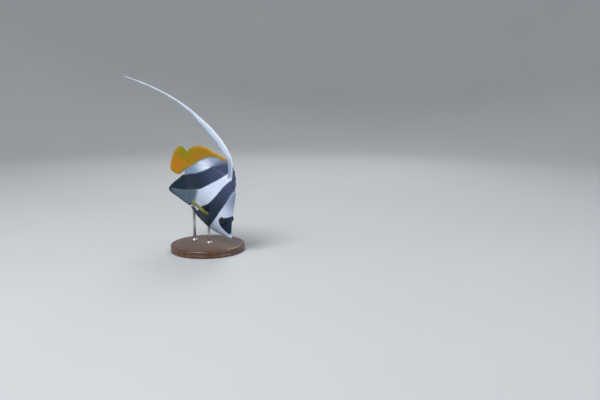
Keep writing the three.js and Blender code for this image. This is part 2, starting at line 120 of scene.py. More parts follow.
def to_fish(points):
    """The way back: from the finished model to the straight fish."""
    posed = (points - FISH_PLACE) @ POSE_TURN
    along = BEND_START - posed[..., 0]
    across = posed[..., 1]
    angle = np.clip(np.arctan2(-along, across - BEND_RADIUS), BEND_ANGLE, 0)
    past = along - BEND_RADIUS * np.sin(angle)
    over = across - BEND_RADIUS * (1 - np.cos(angle))
    rest = past * np.cos(angle) + over * np.sin(angle)
    side = over * np.cos(angle) - past * np.sin(angle)
    behind = BEND_START - angle * BEND_RADIUS - np.where(angle <= BEND_ANGLE, rest, 0)
    straight = np.stack([behind, side, posed[..., 2]], axis=-1)
    return np.where(along[..., None] > 0, straight, posed)


trial = in_fish([0.2, 0.7, 1.1], [0.1, 0.2, -0.1], [0.002, -0.003, 0.001])
print("way there and back, largest error:", np.abs(to_fish(to_world(trial)) - trial).max())

# %% [markdown]
# Three outlines fix the body: the back, the belly and the half width seen from above. A smooth curve
# passes through a few measured points of each. Between them each cross-section is a lens shape,
# sharpest along the back, as on all fishes that slip between corals. Each point is a station and a
# value, both in shares of the body's length, and the gill cover's edge is a line of such places.

# %% Outlines of the body
BACK = [(0, -0.04), (0.04, 0.004), (0.1, 0.075), (0.16, 0.165), (0.22, 0.28), (0.28, 0.384),
        (0.36, 0.423), (0.46, 0.43), (0.56, 0.415), (0.66, 0.36), (0.76, 0.272), (0.86, 0.165),
        (0.93, 0.093), (1, 0.06)]
BELLY = [(0, -0.062), (0.04, -0.092), (0.1, -0.14), (0.18, -0.195), (0.27, -0.245), (0.36, -0.281),
         (0.46, -0.303), (0.56, -0.306), (0.64, -0.292), (0.72, -0.25), (0.8, -0.183), (0.87, -0.12),
         (0.94, -0.076), (1, -0.06)]
HALF_WIDTH = [(0, 0.014), (0.04, 0.026), (0.1, 0.047), (0.18, 0.069), (0.28, 0.083), (0.4, 0.085),
              (0.52, 0.075), (0.64, 0.058), (0.76, 0.041), (0.88, 0.025), (1, 0.014)]
GILL_EDGE = [(0.262, 0.6), (0.275, 0.4), (0.296, 0.24), (0.318, 0.1), (0.33, 0), (0.318, -0.09),
             (0.288, -0.16), (0.245, -0.21), (0.205, -0.25), (0.185, -0.4)]
MIDDLE_SHARE = 0.46
BACK_FULLNESS = 1.12
BELLY_FULLNESS = 1.0
DEEPEST_AT = 0.46


def curve_through(points):
    """Smooth value at x through a few (x, value) points."""
    xs, values = np.array(points, float).T
    before = np.r_[0, np.arange(len(xs) - 1)]
    after = np.r_[np.arange(1, len(xs)), len(xs) - 1]
    slopes = (values[after] - values[before]) / (xs[after] - xs[before])

    def value(x):
        x = np.clip(x, xs[0], xs[-1])
        i = np.clip(np.searchsorted(xs, x, side="right") - 1, 0, len(xs) - 2)
        width = xs[i + 1] - xs[i]
        t = (x - xs[i]) / width
        rise = t * t * (3 - 2 * t)
        lead = t * (1 - t) ** 2 * width
        trail = t * t * (t - 1) * width
        return values[i] + (values[i + 1] - values[i]) * rise + slopes[i] * lead + slopes[i + 1] * trail

    return value


def smooth_step(value, low, high):
    """0 up to low, 1 from high on, and a soft rise between them."""
    t = np.clip((value - low) / (high - low), 0, 1)
    return t * t * (3 - 2 * t)


back = curve_through(BACK)
belly = curve_through(BELLY)
half_width = curve_through(HALF_WIDTH)
gill_edge_down = curve_through([(-height, station) for station, height in GILL_EDGE])
gill_edge = lambda height: gill_edge_down(-np.asarray(height))
deepest = BODY_LENGTH * float(back(DEEPEST_AT) - belly(DEEPEST_AT))
print("greatest depth of the body, in metres:", round(deepest, 4))

# %% [markdown]
# The skin is one surface from the lips to the tail. Besides the outlines it carries the small relief
# that makes a fish's head look alive: the free edge of the gill cover, the crease of the cheek, the
# hollow that the eye sits in and two nostrils on each side. Each is a small offset, given by a
# distance to its place, so the same function serves the skin and the scales that lie on it.

# %% Relief of the head
MM = 0.001
GILL_LIFT = 0.9 * MM
GILL_SLOPE = 0.075
GILL_TOP, GILL_FADE = 0.3, 0.15
EYE_STATION, EYE_HEIGHT = 0.17, 0.06
EYE_RADIUS = 6.6 * MM
EYE_DEPTH = 4 * MM
EYE_STANDS_OUT = 1.8 * MM
BROW_RISE, BROW_AT, BROW_WIDTH = 0.4 * MM, 6.7 * MM, 1.0 * MM
HOLLOW_DEPTH, HOLLOW_FLOOR, HOLLOW_EDGE = 1.9 * MM, 3.4 * MM, 6.3 * MM
NOSTRILS = [(0.1, 0.045, 0.62 * MM), (0.082, 0.032, 0.5 * MM)]
NOSTRIL_DEPTH, NOSTRIL_RIM = 0.8 * MM, 0.2 * MM
CHEEK_CREASE = [(0.175, -0.045), (0.215, -0.06), (0.24, -0.02), (0.25, 0.05), (0.247, 0.12)]
CREASE_DEPTH, CREASE_WIDTH = 0.2 * MM, 1.1 * MM


def top_middle_bottom(station):
    """Heights of the back, of the widest line of the flank and of the belly."""
    top = back(station)
    bottom = belly(station)
    return top, bottom + (top - bottom) * MIDDLE_SHARE, bottom


def flank(station, turn):
    """Distance from the middle plane and height, at a turn from -pi/2 (belly) to pi/2 (back)."""
    top, middle, bottom = top_middle_bottom(station)
    rise = np.sin(turn)
    height = middle + np.where(rise > 0, top - middle, middle - bottom) * rise
    fullness = np.where(rise > 0, BACK_FULLNESS, BELLY_FULLNESS)
    return half_width(station) * BODY_LENGTH * np.clip(np.cos(turn), 0, 1) ** fullness, height


def turn_at(station, height):
    """The turn at which the flank has a height."""
    top, middle, bottom = top_middle_bottom(station)
    reach = np.where(height > middle, top - middle, middle - bottom)
    return np.arcsin(np.clip((height - middle) / reach, -1, 1))


def gill_low(height):
    """The gill cover is free up to the nape and fades out there."""
    return smooth_step(GILL_TOP - height, 0, GILL_FADE)


def metres_to(place, station, height):
    """Distance in the side view to one place, a station and a height."""
    return np.hypot(station - place[0], height - place[1]) * BODY_LENGTH


def distance_to(route, station, height):
    """Distance in the side view to a line through a few (station, height) points, in metres."""
    nearest = np.full(np.shape(station), 9.0)
    for (s0, z0), (s1, z1) in zip(route[:-1], route[1:]):
        run = np.array([s1 - s0, z1 - z0])
        share = ((station - s0) * run[0] + (height - z0) * run[1]) / (run @ run)
        share = np.clip(share, 0, 1)
        nearest = np.minimum(nearest, np.hypot(station - s0 - share * run[0], height - z0 - share * run[1]))
    return nearest * BODY_LENGTH


def fine_route(route, steps=8):
    """The same route through more points, rounded at its corners."""
    knots = np.linspace(0, 1, len(route))
    shares = np.linspace(0, 1, steps * (len(route) - 1) + 1)
    columns = [curve_through(list(zip(knots, [p[k] for p in route])))(shares) for k in (0, 1)]
    return list(zip(*columns))


CREASE_LINE = fine_route(CHEEK_CREASE)


def mound(distance, width):
    """1 at no distance, fading out like a bell curve over a width."""
    return np.exp(-((distance / width) ** 2))


def relief(station, height):
    """How far the surface stands out from the plain lens shape, in metres."""
    ahead = gill_edge(height) - station
    share = 1 - np.clip(ahead / GILL_SLOPE, 0, 1)
    offset = np.where(ahead >= 0, GILL_LIFT * gill_low(height) * share**2, 0)
    offset = offset - CREASE_DEPTH * mound(distance_to(CREASE_LINE, station, height), CREASE_WIDTH)
    eye = metres_to((EYE_STATION, EYE_HEIGHT), station, height)
    offset = offset + BROW_RISE * mound(eye - BROW_AT, BROW_WIDTH)
    offset = offset - HOLLOW_DEPTH * (1 - smooth_step(eye, HOLLOW_FLOOR, HOLLOW_EDGE))
    for s, z, radius in NOSTRILS:
        pit = metres_to((s, z), station, height)
        offset = offset - NOSTRIL_DEPTH * mound(pit, radius)
        offset = offset + NOSTRIL_RIM * mound(pit - 1.7 * radius, 0.7 * radius)
    return offset


def skin_point(station, turn, side, lift=None):
    """A point of the skin in the straight fish. A lift given here replaces the relief."""
    out, height = flank(station, turn)
    extra = relief(station, height) if lift is None else lift
    round_share = np.sqrt(np.clip(np.cos(turn), 0, 1))
    return in_fish(station, height, side * (out + extra * round_share))


print("gill cover stands out by, in millimetres:", GILL_LIFT / MM)

# %% [markdown]
# A grid of rings suits a fish well, but a ring at one station would cut across the slanting edge of
# the gill cover and leave it ragged. So the rings near it are warped until one of them follows the
# edge, and there the cover folds over into the dark groove behind it. The front rings roll round the
# lips and back into the mouth.

# %% Rings of the skin
HALF_RINGS = 112
GILL_RING = 0.31
WARP_FRONT, WARP_REAR = 0.11, 0.66
SNOUT_START = 0.014
HEAD_STEP, TRUNK_STEP = 0.0029, 0.0056
MOUTH_HEIGHT = -0.0495
LIP_SPREAD, LIP_RISE, LIP_SIZE = 1.6 * MM, 1.0 * MM, 1.0 * MM
LIP_FORWARD, LIP_CORNER, UPPER_LIP_AHEAD = 0.4 * MM, 1.3 * MM, 0.2 * MM
LIP_CORNER_SHARE, LIP_LONGER, MOUTH_ARCH = 0.62, 1.3, 0.25 * MM
LIP_ANGLES = (205, 180, 155, 130, 105, 80, 55, 30, 5, -25)
GILL_FOLD = ((-0.0012, 1.0), (0.0006, 0.92), (0.0010, 0.4), (-0.0022, -0.35), (0.0012, -0.2))
GROOVE_END = 0.004
TAIL_CLOSING = ((0.86, 0.0024), (0.5, 0.0036), (0.1, 0.004))


def warped(ring, turn):
    """Station of a ring at a turn: the ring at GILL_RING follows the gill cover's edge."""
    rear = 1 - smooth_step(ring, GILL_RING, WARP_REAR)
    share = np.where(ring < GILL_RING, smooth_step(ring, WARP_FRONT, GILL_RING), rear)
    station = ring + np.zeros_like(turn)
    for _ in range(12):
        height = flank(station, turn)[1]
        station = ring + share * (gill_edge(height) - GILL_RING)
    return station


def girth(ring):
    """Fine turns from the belly to the back, and the length along the skin up to each of them."""
    fine = np.linspace(-math.pi / 2, math.pi / 2, 801)
    out, height = flank(warped(ring, fine), fine)
    run = np.hypot(np.diff(out), np.diff(height * BODY_LENGTH))
    return fine, np.r_[0, np.cumsum(run)]


def even_turns(ring):
    """Turns from the belly to the back, evenly spaced along the skin."""
    fine, length = girth(ring)
    return np.interp(np.linspace(0, length[-1], HALF_RINGS + 1), length, fine)


def half_ring(ring, side, shift=0.0, fold=None):
    """Half a ring. At the gill cover, fold is the share of the lift and shift a step along the fish."""
    turns = even_turns(ring)
    station = warped(ring, turns)
    if fold is None:
        return skin_point(station, turns, side)
    low = gill_low(flank(station, turns)[1])
    lift = fold * GILL_LIFT * low
    return skin_point(station + shift * low, turns, side, lift)


def whole_ring(ring, shift=0.0, fold=None):
    """Up the left flank and down the right one."""
    left = half_ring(ring, 1, shift, fold)
    right = half_ring(ring, -1, shift, fold)
    return np.concatenate([left, right[-2:0:-1]])


def lip_ring(angle):
    """A ring round the lips: 0 degrees is outermost, 90 foremost, 180 inside the mouth."""
    turns = even_turns(SNOUT_START)
    turns = np.r_[turns, math.pi - turns[-2:0:-1]]
    rise = np.sin(turns)
    corner = np.cos(turns) ** 2
    size = LIP_SIZE * (LIP_CORNER_SHARE + (1 - LIP_CORNER_SHARE) * np.abs(rise))
    roll = math.radians(angle)
    reach_y = LIP_SPREAD + size * math.cos(roll)
    reach_z = LIP_RISE + size * math.cos(roll)
    forward = LIP_FORWARD - LIP_CORNER * corner + UPPER_LIP_AHEAD * rise
    x = 0.5 * BODY_LENGTH + forward + LIP_LONGER * size * math.sin(roll)
    z = MOUTH_HEIGHT * BODY_LENGTH + reach_z * rise + MOUTH_ARCH * corner
    return np.stack([x, reach_y * np.cos(turns), z], axis=-1)


rings = [lip_ring(angle) for angle in LIP_ANGLES]
rings += [whole_ring(ring) for ring in np.arange(SNOUT_START, GILL_RING - HEAD_STEP / 2, HEAD_STEP)]
rings += [whole_ring(GILL_RING, shift, fold) for shift, fold in GILL_FOLD]
trunk_count = int((1 - GILL_RING) / TRUNK_STEP)
rings += [whole_ring(ring) for ring in np.linspace(GILL_RING + GROOVE_END, 1, trunk_count)]
tail_end = rings[-1]
for share, step in TAIL_CLOSING:
    rings.append(tail_end * np.array([1, share, 1]) - np.array([step * BODY_LENGTH, 0, 0]))
print("rings of the skin:", len(rings), "with", len(rings[0]), "points each")

# %% [markdown]
# Every piece that carries the fish's colours gets an attribute with its station and height. The
# colours then need no picture and no unwrapping: the same pattern falls on the skin, on the scales
# that lie over it and on the fins that stand out of it, and it always meets at their edges. The
# skin's faces run from ring to ring, and a cap closes it inside the mouth and under the tail fin.

# %% Mesh helpers
PLACE = "fish_place"
BAKE_MARGIN = 0.02
BAKE_TO = 1.02


def new_piece(name, points, faces, edges=()):
    """An object with a mesh of its own, linked to the scene."""
    mesh = bpy.data.meshes.new(name)
    mesh.from_pydata([tuple(p) for p in points], [tuple(e) for e in edges], [tuple(f) for f in faces])
    piece = bpy.data.objects.new(name, mesh)
    bpy.context.scene.collection.objects.link(piece)
    return piece


def store(piece, name, values, kind="FLOAT_VECTOR"):
    """Writes one value or vector for each point of a piece."""
    attribute = piece.data.attributes.new(name, kind, "POINT")
    field = "value" if kind == "FLOAT" else "vector"
    attribute.data.foreach_set(field, np.asarray(values, np.float32).ravel())


def vectors_of(data, key="vector"):
    """Reads one vector for each point of an attribute, or for each vertex with the key co."""
    found = np.zeros(len(data) * 3)
    data.foreach_get(key, found)
    return found.reshape(-1, 3)


def place_of(straight):
    """Station, height and side of points of the straight fish, as a vector for each."""
    station = 0.5 - straight[..., 0] / BODY_LENGTH
    return np.stack([station, straight[..., 2] / BODY_LENGTH, np.sign(straight[..., 1])], axis=-1)


def smooth(piece):
    """Shades a piece smooth."""
    piece.data.polygons.foreach_set("use_smooth", [True] * len(piece.data.polygons))
    piece.data.update()


def triangles(piece):
    """Counts the triangles of a piece."""
    piece.data.calc_loop_triangles()
    return len(piece.data.loop_triangles)


def set_bake_map(piece, corner_map):
    """Gives a piece the map that colours are baked to, from one place for each point."""
    layer = piece.data.uv_layers.new(name="OFBake")
    corners = np.zeros(len(piece.data.loops), np.int32)
    piece.data.loops.foreach_get("vertex_index", corners)
    layer.data.foreach_set("uv", corner_map[corners].astype(np.float32).ravel())


def side_by_side(along, up, side):
    """Bake map of two flanks laid out beside each other, from shares along and up each of them."""
    u = np.where(side > 0, 0, 0.5) + BAKE_MARGIN + (0.5 - 2 * BAKE_MARGIN) * along
    v = BAKE_MARGIN + (1 - 2 * BAKE_MARGIN) * up
    return np.stack([u, v], axis=-1)


def unwrapped(station, turn, side):
    """Bake map of the body, cut open along the back and the belly."""
    return side_by_side(np.clip(station, 0, BAKE_TO) / BAKE_TO, turn / math.pi + 0.5, side)


def ring_faces(rings, count, other_way=False, closed=False):
    """Faces between rings of points. Closed joins the last ring to the first one."""
    faces = []
    for ring in range(rings if closed else rings - 1):
        here = ring * count
        there = (ring + 1) % rings * count
        for i in range(count):
            j = (i + 1) % count
            near, far = (here + i, here + j), (there + j, there + i)
            faces.append((near[0], far[1], far[0], near[1]) if other_way else near + far)
    return faces


def end_caps(rings, count, other_way=False):
    """Faces that close the first and the last ring."""
    first = tuple(range(count))
    last = tuple(range((rings - 1) * count, rings * count))
    return [first, last[::-1]] if other_way else [first[::-1], last]


# %% The skin
ring_size = len(rings[0])
skin_points = np.concatenate(rings)
skin_faces = ring_faces(len(rings), ring_size, True) + end_caps(len(rings), ring_size, True)
skin = new_piece("skin", to_world(skin_points), skin_faces)
smooth(skin)
skin_place = place_of(skin_points)
skin_turn = turn_at(skin_place[:, 0], skin_place[:, 1])
skin_side = np.tile(np.r_[np.ones(HALF_RINGS + 1), -np.ones(HALF_RINGS - 1)], len(rings))
store(skin, PLACE, skin_place)
set_bake_map(skin, unwrapped(skin_place[:, 0], skin_turn, skin_side))
print("skin triangles:", triangles(skin))

# %% [markdown]
# Materials are networks of small nodes. These helpers add one node each and link or set its inputs,
# so that a finish below reads like a recipe. A Map Range node turns a measure such as the height
# into a share with soft ends, and most shades of the fish are a few such shares multiplied.

# %% Shader helpers
def set_socket(tree, socket, value):
    """Links a socket to an output, or sets it to a number, a vector or a colour."""
    if isinstance(value, bpy.types.NodeSocket):
        tree.links.new(value, socket)
    elif socket.type == "RGBA":
        socket.default_value = (*value, 1)
    else:
        socket.default_value = value


def fill(tree, sockets, **values):
    """Links or sets sockets by name, with an underscore for each space."""
    for label, value in values.items():
        set_socket(tree, sockets[label.replace("_", " ")], value)


def add_node(tree, kind, inputs, **settings):
    """A node with its settings. Its inputs are given by name or by number."""
    node = tree.nodes.new(kind)
    for name, value in settings.items():
        setattr(node, name, value)
    for key, value in inputs.items():
        set_socket(tree, node.inputs[key], value)
    return node


def maths(tree, operation, first, second):
    return add_node(tree, "ShaderNodeMath", {0: first, 1: second}, operation=operation).outputs[0]


def product(tree, first, second):
    return maths(tree, "MULTIPLY", first, second)


def strongest(tree, first, second):
    return maths(tree, "MAXIMUM", first, second)


def rest_of(tree, share):
    """What is left of one beside a share."""
    return maths(tree, "SUBTRACT", 1.0, share)


def blend_colours(tree, share, first, second, mode="MIX"):
    """The first colour where the share is 0 and the second one where it is 1."""
    inputs = {0: share, 6: first, 7: second}
    return add_node(tree, "ShaderNodeMix", inputs, data_type="RGBA", blend_type=mode).outputs[2]


def in_range(tree, value, low, high, to_low=0.0, to_high=1.0, smoothly=True):
    """Maps low and high to two other values. Between them it rises smoothly or in a straight line."""
    inputs = {0: value, 1: low, 2: high, 3: to_low, 4: to_high}
    rise = "SMOOTHSTEP" if smoothly else "LINEAR"
    return add_node(tree, "ShaderNodeMapRange", inputs, interpolation_type=rise).outputs[0]


def varied(tree, pattern, low, high):
    """Lets a value follow a noise pattern from low to high."""
    return in_range(tree, pattern, 0.3, 0.7, low, high)


def noise(tree, vector, scale, detail, roughness=0.5):
    inputs = {"Vector": vector, "Scale": scale, "Detail": detail, "Roughness": roughness}
    return add_node(tree, "ShaderNodeTexNoise", inputs).outputs[0]


def wave(tree, vector, scale, distortion=0.0, detail=2.0, detail_scale=1.0):
    """Bands, one after the other along Y."""
    inputs = {"Vector": vector, "Scale": scale, "Distortion": distortion, "Detail": detail,
              "Detail Scale": detail_scale}
    return add_node(tree, "ShaderNodeTexWave", inputs, bands_direction="Y").outputs["Fac"]


def bump(tree, height, strength, distance):
    """A normal that follows a height, at most a distance deep."""
    inputs = {"Height": height, "Strength": strength, "Distance": distance}
    return add_node(tree, "ShaderNodeBump", inputs).outputs[0]


def attribute_of(tree, name, output="Vector"):
    return add_node(tree, "ShaderNodeAttribute", {}, attribute_name=name).outputs[output]


def object_place(tree):
    return tree.nodes.new("ShaderNodeTexCoord").outputs["Object"]


def split(tree, vector):
    return add_node(tree, "ShaderNodeSeparateXYZ", {0: vector}).outputs


def stretched(tree, vector, scale):
    return add_node(tree, "ShaderNodeMapping", {"Vector": vector, "Scale": scale}).outputs[0]


def add_inputs(tree, inputs):
    """Named inputs of a node group: (name, socket type, value or None)."""
    for label, kind, value in inputs:
        socket = tree.interface.new_socket(label, in_out="INPUT", socket_type=kind)
        if value is not None:
            socket.default_value = value


def new_group(name, inputs, outputs):
    """An empty shader group with named sockets: (name, type, value) in and (name, type) out."""
    tree = bpy.data.node_groups.new(name, "ShaderNodeTree")
    add_inputs(tree, inputs)
    for label, kind in outputs:
        tree.interface.new_socket(label, in_out="OUTPUT", socket_type=kind)
    return tree, tree.nodes.new("NodeGroupInput").outputs, tree.nodes.new("NodeGroupOutput").inputs


def use_group(tree, group, **values):
    """Places a group in a tree and returns its outputs."""
    node = add_node(tree, "ShaderNodeGroup", {}, node_tree=group)
    fill(tree, node.inputs, **values)
    return node.outputs


# %% [markdown]
# The markings are the fish's name tag: two dark bands that slant backwards, a dark mask over the
# eyes, and yellow over the soft back fin and the tail. Each edge of a band is a line across the
# fish, and a Float Curve node can hold such a line: the height goes in and the station of the edge
# comes out. One group holds all of them. It also puts out where the white is smoky, on the belly
# before the second band. It also puts out a mask of painted shade, which darkens the white on the
# nape and breast, low on the narrow of the tail, towards the root of the back fin and, a little, on
# the lower flank.

# %% Edges of the markings
LOWEST, HIGHEST, FARTHEST = -0.55, 0.7, 1.3
EDGE_WOBBLE, WOBBLE_SCALE = 0.012, 34
FIRST_BAND_FRONT = [(0.32, 0.46), (0.308, 0.425), (0.284, 0.335), (0.265, 0.25), (0.257, 0.18),
                    (0.253, 0.09), (0.248, 0), (0.25, -0.07), (0.257, -0.133), (0.262, -0.187),
                    (0.262, -0.26)]
FIRST_BAND_REAR = [(0.51, 0.61), (0.468, 0.555), (0.435, 0.5), (0.41, 0.446), (0.41, 0.374),
                   (0.408, 0.26), (0.408, 0.194), (0.413, 0.126), (0.43, 0.029), (0.468, -0.06),
                   (0.484, -0.11), (0.5, -0.18), (0.53, -0.3)]
SECOND_BAND_FRONT = [(0.556, 0.6), (0.511, 0.53), (0.493, 0.467), (0.5, 0.414), (0.513, 0.348),
                     (0.546, 0.251), (0.588, 0.142), (0.636, 0.028), (0.674, -0.03), (0.743, -0.134),
                     (0.793, -0.205), (0.838, -0.271), (0.954, -0.386), (1.023, -0.46)]
SECOND_BAND_REAR = [(0.59, 0.57), (0.604, 0.537), (0.648, 0.463), (0.676, 0.401), (0.7, 0.333),
                    (0.731, 0.248), (0.777, 0.149), (0.81, 0.089), (0.864, 0.014), (0.92, -0.075),
                    (0.955, -0.125), (1.28, -0.16)]
YELLOW_FRONT = [(0.6, 0.6), (0.611, 0.546), (0.645, 0.503), (0.689, 0.484), (0.724, 0.464),
                (0.769, 0.417), (0.804, 0.378), (0.838, 0.302), (0.879, 0.221), (0.892, 0.17),
                (0.915, 0.109), (0.93, 0.048), (0.958, -0.014), (0.981, -0.085), (0.991, -0.145),
                (1.02, -0.25), (1.06, -0.3)]
MASK_REAR = [(0.11, 0.32), (0.115, 0.26), (0.125, 0.18), (0.13, 0.166), (0.152, 0.133), (0.17, 0.105),
             (0.199, 0.072), (0.21, 0.046), (0.205, 0.02), (0.18, -0.005), (0.148, -0.02),
             (0.09, -0.026), (0, -0.034)]
SMOKY_FRONT = [(0.7, 0.06), (0.66, 0), (0.645, -0.05), (0.63, -0.089), (0.615, -0.135),
               (0.585, -0.2), (0.55, -0.25), (0.51, -0.31)]


def edge_station(tree, height_share, points):
    """Station of an edge at each height, held by a Float Curve node."""
    node = add_node(tree, "ShaderNodeFloatCurve", {"Value": height_share})
    knots = sorted(((z - LOWEST) / (HIGHEST - LOWEST), s / FARTHEST) for s, z in points)
    knots = [(0.0, knots[0][1])] + knots + [(1.0, knots[-1][1])]
    curve = node.mapping.curves[0]
    curve.points[0].location = knots[0]
    curve.points[1].location = knots[-1]
    for knot in knots[1:-1]:
        curve.points.new(*knot)
    for point in curve.points:
        point.handle_type = "AUTO_CLAMPED"
    node.mapping.update()
    return maths(tree, "MULTIPLY", node.outputs[0], FARTHEST)


def past_edge(tree, station, height_share, points, blur):
    """0 ahead of an edge and 1 behind it, over a soft step."""
    ahead = maths(tree, "SUBTRACT", station, edge_station(tree, height_share, points))
    return in_range(tree, ahead, product(tree, blur, -1), blur)


def between(tree, front, rear):
    return product(tree, front, rest_of(tree, rear))


def make_markings():
    tree, given, out = new_group(
        "bannerfish markings",
        [("Place", "NodeSocketVector", None), ("Blur", "NodeSocketFloat", 0.007)],
        [(label, "NodeSocketFloat") for label in ("Dark", "Yellow", "Smoky", "Dusky")],
    )
    station, height, _ = split(tree, given["Place"])
    wobble = maths(tree, "SUBTRACT", noise(tree, given["Place"], WOBBLE_SCALE, 3), 0.5)
    station = maths(tree, "ADD", station, product(tree, wobble, EDGE_WOBBLE))
    share = in_range(tree, height, LOWEST, HIGHEST, smoothly=False)

    def edge(points, widen=1.0):
        return past_edge(tree, station, share, points, product(tree, given["Blur"], widen))

    first_rear = edge(FIRST_BAND_REAR)
    first = between(tree, edge(FIRST_BAND_FRONT), first_rear)
    second_front = edge(SECOND_BAND_FRONT)
    softer_up = in_range(tree, height, 0.28, 0.5, 2.0, 7.5)
    second = between(tree, second_front, edge(SECOND_BAND_REAR, softer_up))
    mask = product(tree, rest_of(tree, edge(MASK_REAR)), in_range(tree, station, 0.012, 0.035))
    smoky = between(tree, edge(SMOKY_FRONT, 7.0), second_front)
    smoky = product(tree, smoky, in_range(tree, height, 0.03, -0.05))

    # Painted shade: the white is darkened on nape and breast ahead of the first band, low down and near the
    # back fin's root behind the second band's front edge, and a little over the whole lower flank.
    breast = in_range(tree, height, 0.02, -0.14, 0.0, 0.6)
    nape = in_range(tree, height, 0.14, 0.3, 0.0, 0.75)
    head = product(tree, rest_of(tree, first_rear), strongest(tree, breast, nape))
    tail = in_range(tree, height, 0.26, 0.07)
    fin_root_shade = in_range(tree, height, 0.25, 0.42, 0.0, 0.8)
    rear = product(tree, second_front, strongest(tree, tail, fin_root_shade))
    lower_flank_shade = in_range(tree, height, 0.15, -0.1, 0.0, 0.35)
    painted_shade = strongest(tree, lower_flank_shade, strongest(tree, head, rear))

    dark = strongest(tree, strongest(tree, first, second), mask)
    fill(tree, out, Dark=dark, Yellow=edge(YELLOW_FRONT, 6.5), Smoky=smoky, Dusky=painted_shade)
    return tree


markings = make_markings()
print("nodes in the markings group:", len(markings.nodes))

# %% [markdown]
# The colours under studio light: a cool white with a touch of blue, greyer in random patches, and a
# darker blue-grey that is painted shade on the white; a near-black that turns to a dull blue towards
# the back, and a warm yellow that turns orange at the middle of the tail fin and greenish at its upper
# edge. A second group mixes them from the masks, so that skin, scales and fins take the same paint.

# %% Colours of the fish
WHITE = (0.735, 0.83, 0.99)
SHADED_WHITE = (0.46, 0.57, 0.76)
# The colour of painted shade on the white.
PAINTED_SHADE_WHITE = (0.24, 0.32, 0.46)
DARK = (0.003, 0.017, 0.036)
DULL_BLUE = (0.064, 0.083, 0.165)
YELLOW = (0.42, 0.205, 0.001)
RIM_YELLOW = (0.62, 0.34, 0.02)
ORANGE = (0.60, 0.205, 0.001)
GREENISH = (0.29, 0.26, 0.001)
OLIVE = (0.24, 0.23, 0.09)
SMOKE = (0.086, 0.137, 0.185)
TAIL_FIN_MIDDLE = (1.072, -0.085, 0)


def make_fish_paint():
    tree, given, out = new_group(
        "fish paint",
        [("Place", "NodeSocketVector", None), ("Blur", "NodeSocketFloat", 0.006),
         ("Tint", "NodeSocketFloat", 0.5)],
        [("Colour", "NodeSocketColor"), ("Dark", "NodeSocketFloat"), ("Yellow", "NodeSocketFloat")],
    )
    marks = use_group(tree, markings, Place=given["Place"], Blur=given["Blur"])
    station, height, _ = split(tree, given["Place"])
    patchy = noise(tree, given["Place"], 7, 2)
    fine = noise(tree, given["Place"], 60, 3)

    shade = in_range(tree, maths(tree, "ADD", patchy, product(tree, fine, 0.3)), 0.5, 0.85)
    white = blend_colours(tree, product(tree, shade, 0.3), WHITE, SHADED_WHITE)
    white = blend_colours(tree, product(tree, given["Tint"], 0.16), white, SHADED_WHITE)
    # Painted shade: the white turns to a darker blue-grey under the shade mask.
    white = blend_colours(tree, marks["Dusky"], white, PAINTED_SHADE_WHITE)

    dark = blend_colours(tree, in_range(tree, height, -0.02, 0.5), DARK, DULL_BLUE)
    dark = blend_colours(tree, in_range(tree, fine, 0.45, 0.75, 0.0, 0.3), dark, DARK)
    dark = blend_colours(tree, product(tree, given["Tint"], 0.1), dark, DULL_BLUE)

    flat_place = stretched(tree, given["Place"], (1.0, 1.0, 0.0))
    places = {0: flat_place, 1: TAIL_FIN_MIDDLE}
    away = add_node(tree, "ShaderNodeVectorMath", places, operation="DISTANCE").outputs["Value"]
    crown = product(tree, in_range(tree, height, -0.01, 0.1), in_range(tree, station, 0.99, 1.08))
    warm = blend_colours(tree, in_range(tree, patchy, 0.4, 0.7, 0.0, 0.5), YELLOW, GREENISH)
    warm = blend_colours(tree, crown, warm, GREENISH)
    warm = blend_colours(tree, in_range(tree, away, 0.17, 0.02, 0.0, 0.85), warm, ORANGE)

    colour = blend_colours(tree, marks["Smoky"], white, SMOKE)
    colour = blend_colours(tree, marks["Dark"], colour, dark)
    colour = blend_colours(tree, in_range(tree, marks["Yellow"], 0.1, 0.55), colour, OLIVE)
    colour = blend_colours(tree, in_range(tree, marks["Yellow"], 0.35, 1.0), colour, warm)
    fill(tree, out, Colour=colour, Dark=marks["Dark"], Yellow=marks["Yellow"])
    return tree


fish_paint = make_fish_paint()
print("nodes in the paint group:", len(fish_paint.nodes))

# %% [markdown]
# The skin between and under the scales is moist but not wet. Its pores and folds are far too fine
# for the mesh, so they are a bump of a tenth of a millimetre under a thin clear coat.

# %% Skin finish
def new_material(name):
    """A material with a Principled shader, and its node tree and shader sockets."""
    material = bpy.data.materials.new(name)
    material.use_nodes = True
    tree = material.node_tree
    shader = next(node for node in tree.nodes if node.type == "BSDF_PRINCIPLED")
    return material, tree, shader.inputs


def make_skin_finish():
    material, tree, shader = new_material("moist skin")
    paint = use_group(tree, fish_paint, Place=attribute_of(tree, PLACE), Blur=0.008)
    pores = noise(tree, object_place(tree), 2600, 2)
    folds = noise(tree, object_place(tree), 420, 3)
    fill(tree, shader, Base_Color=paint["Colour"], Roughness=varied(tree, folds, 0.34, 0.52),
         Normal=bump(tree, maths(tree, "ADD", pores, folds), 0.35, 0.12 * MM),
         Coat_Weight=0.1, Coat_Roughness=0.2, Specular_IOR_Level=0.2)
    return material


skin_finish = make_skin_finish()
skin.data.materials.append(skin_finish)
print("nodes in the skin finish:", len(skin_finish.node_tree.nodes))

# %% [markdown]
# A bannerfish has about fifty rows of scales from gill to tail, smaller ones on the head and the
# smallest on the snout. They overlap like roof tiles with the free edge to the rear. The roots are
# laid out in columns from the skin's own formula, so that they follow its curves, and every second
# column is moved by half a step. The lips, the nostrils, the eye and the gill cover's edge stay bare.

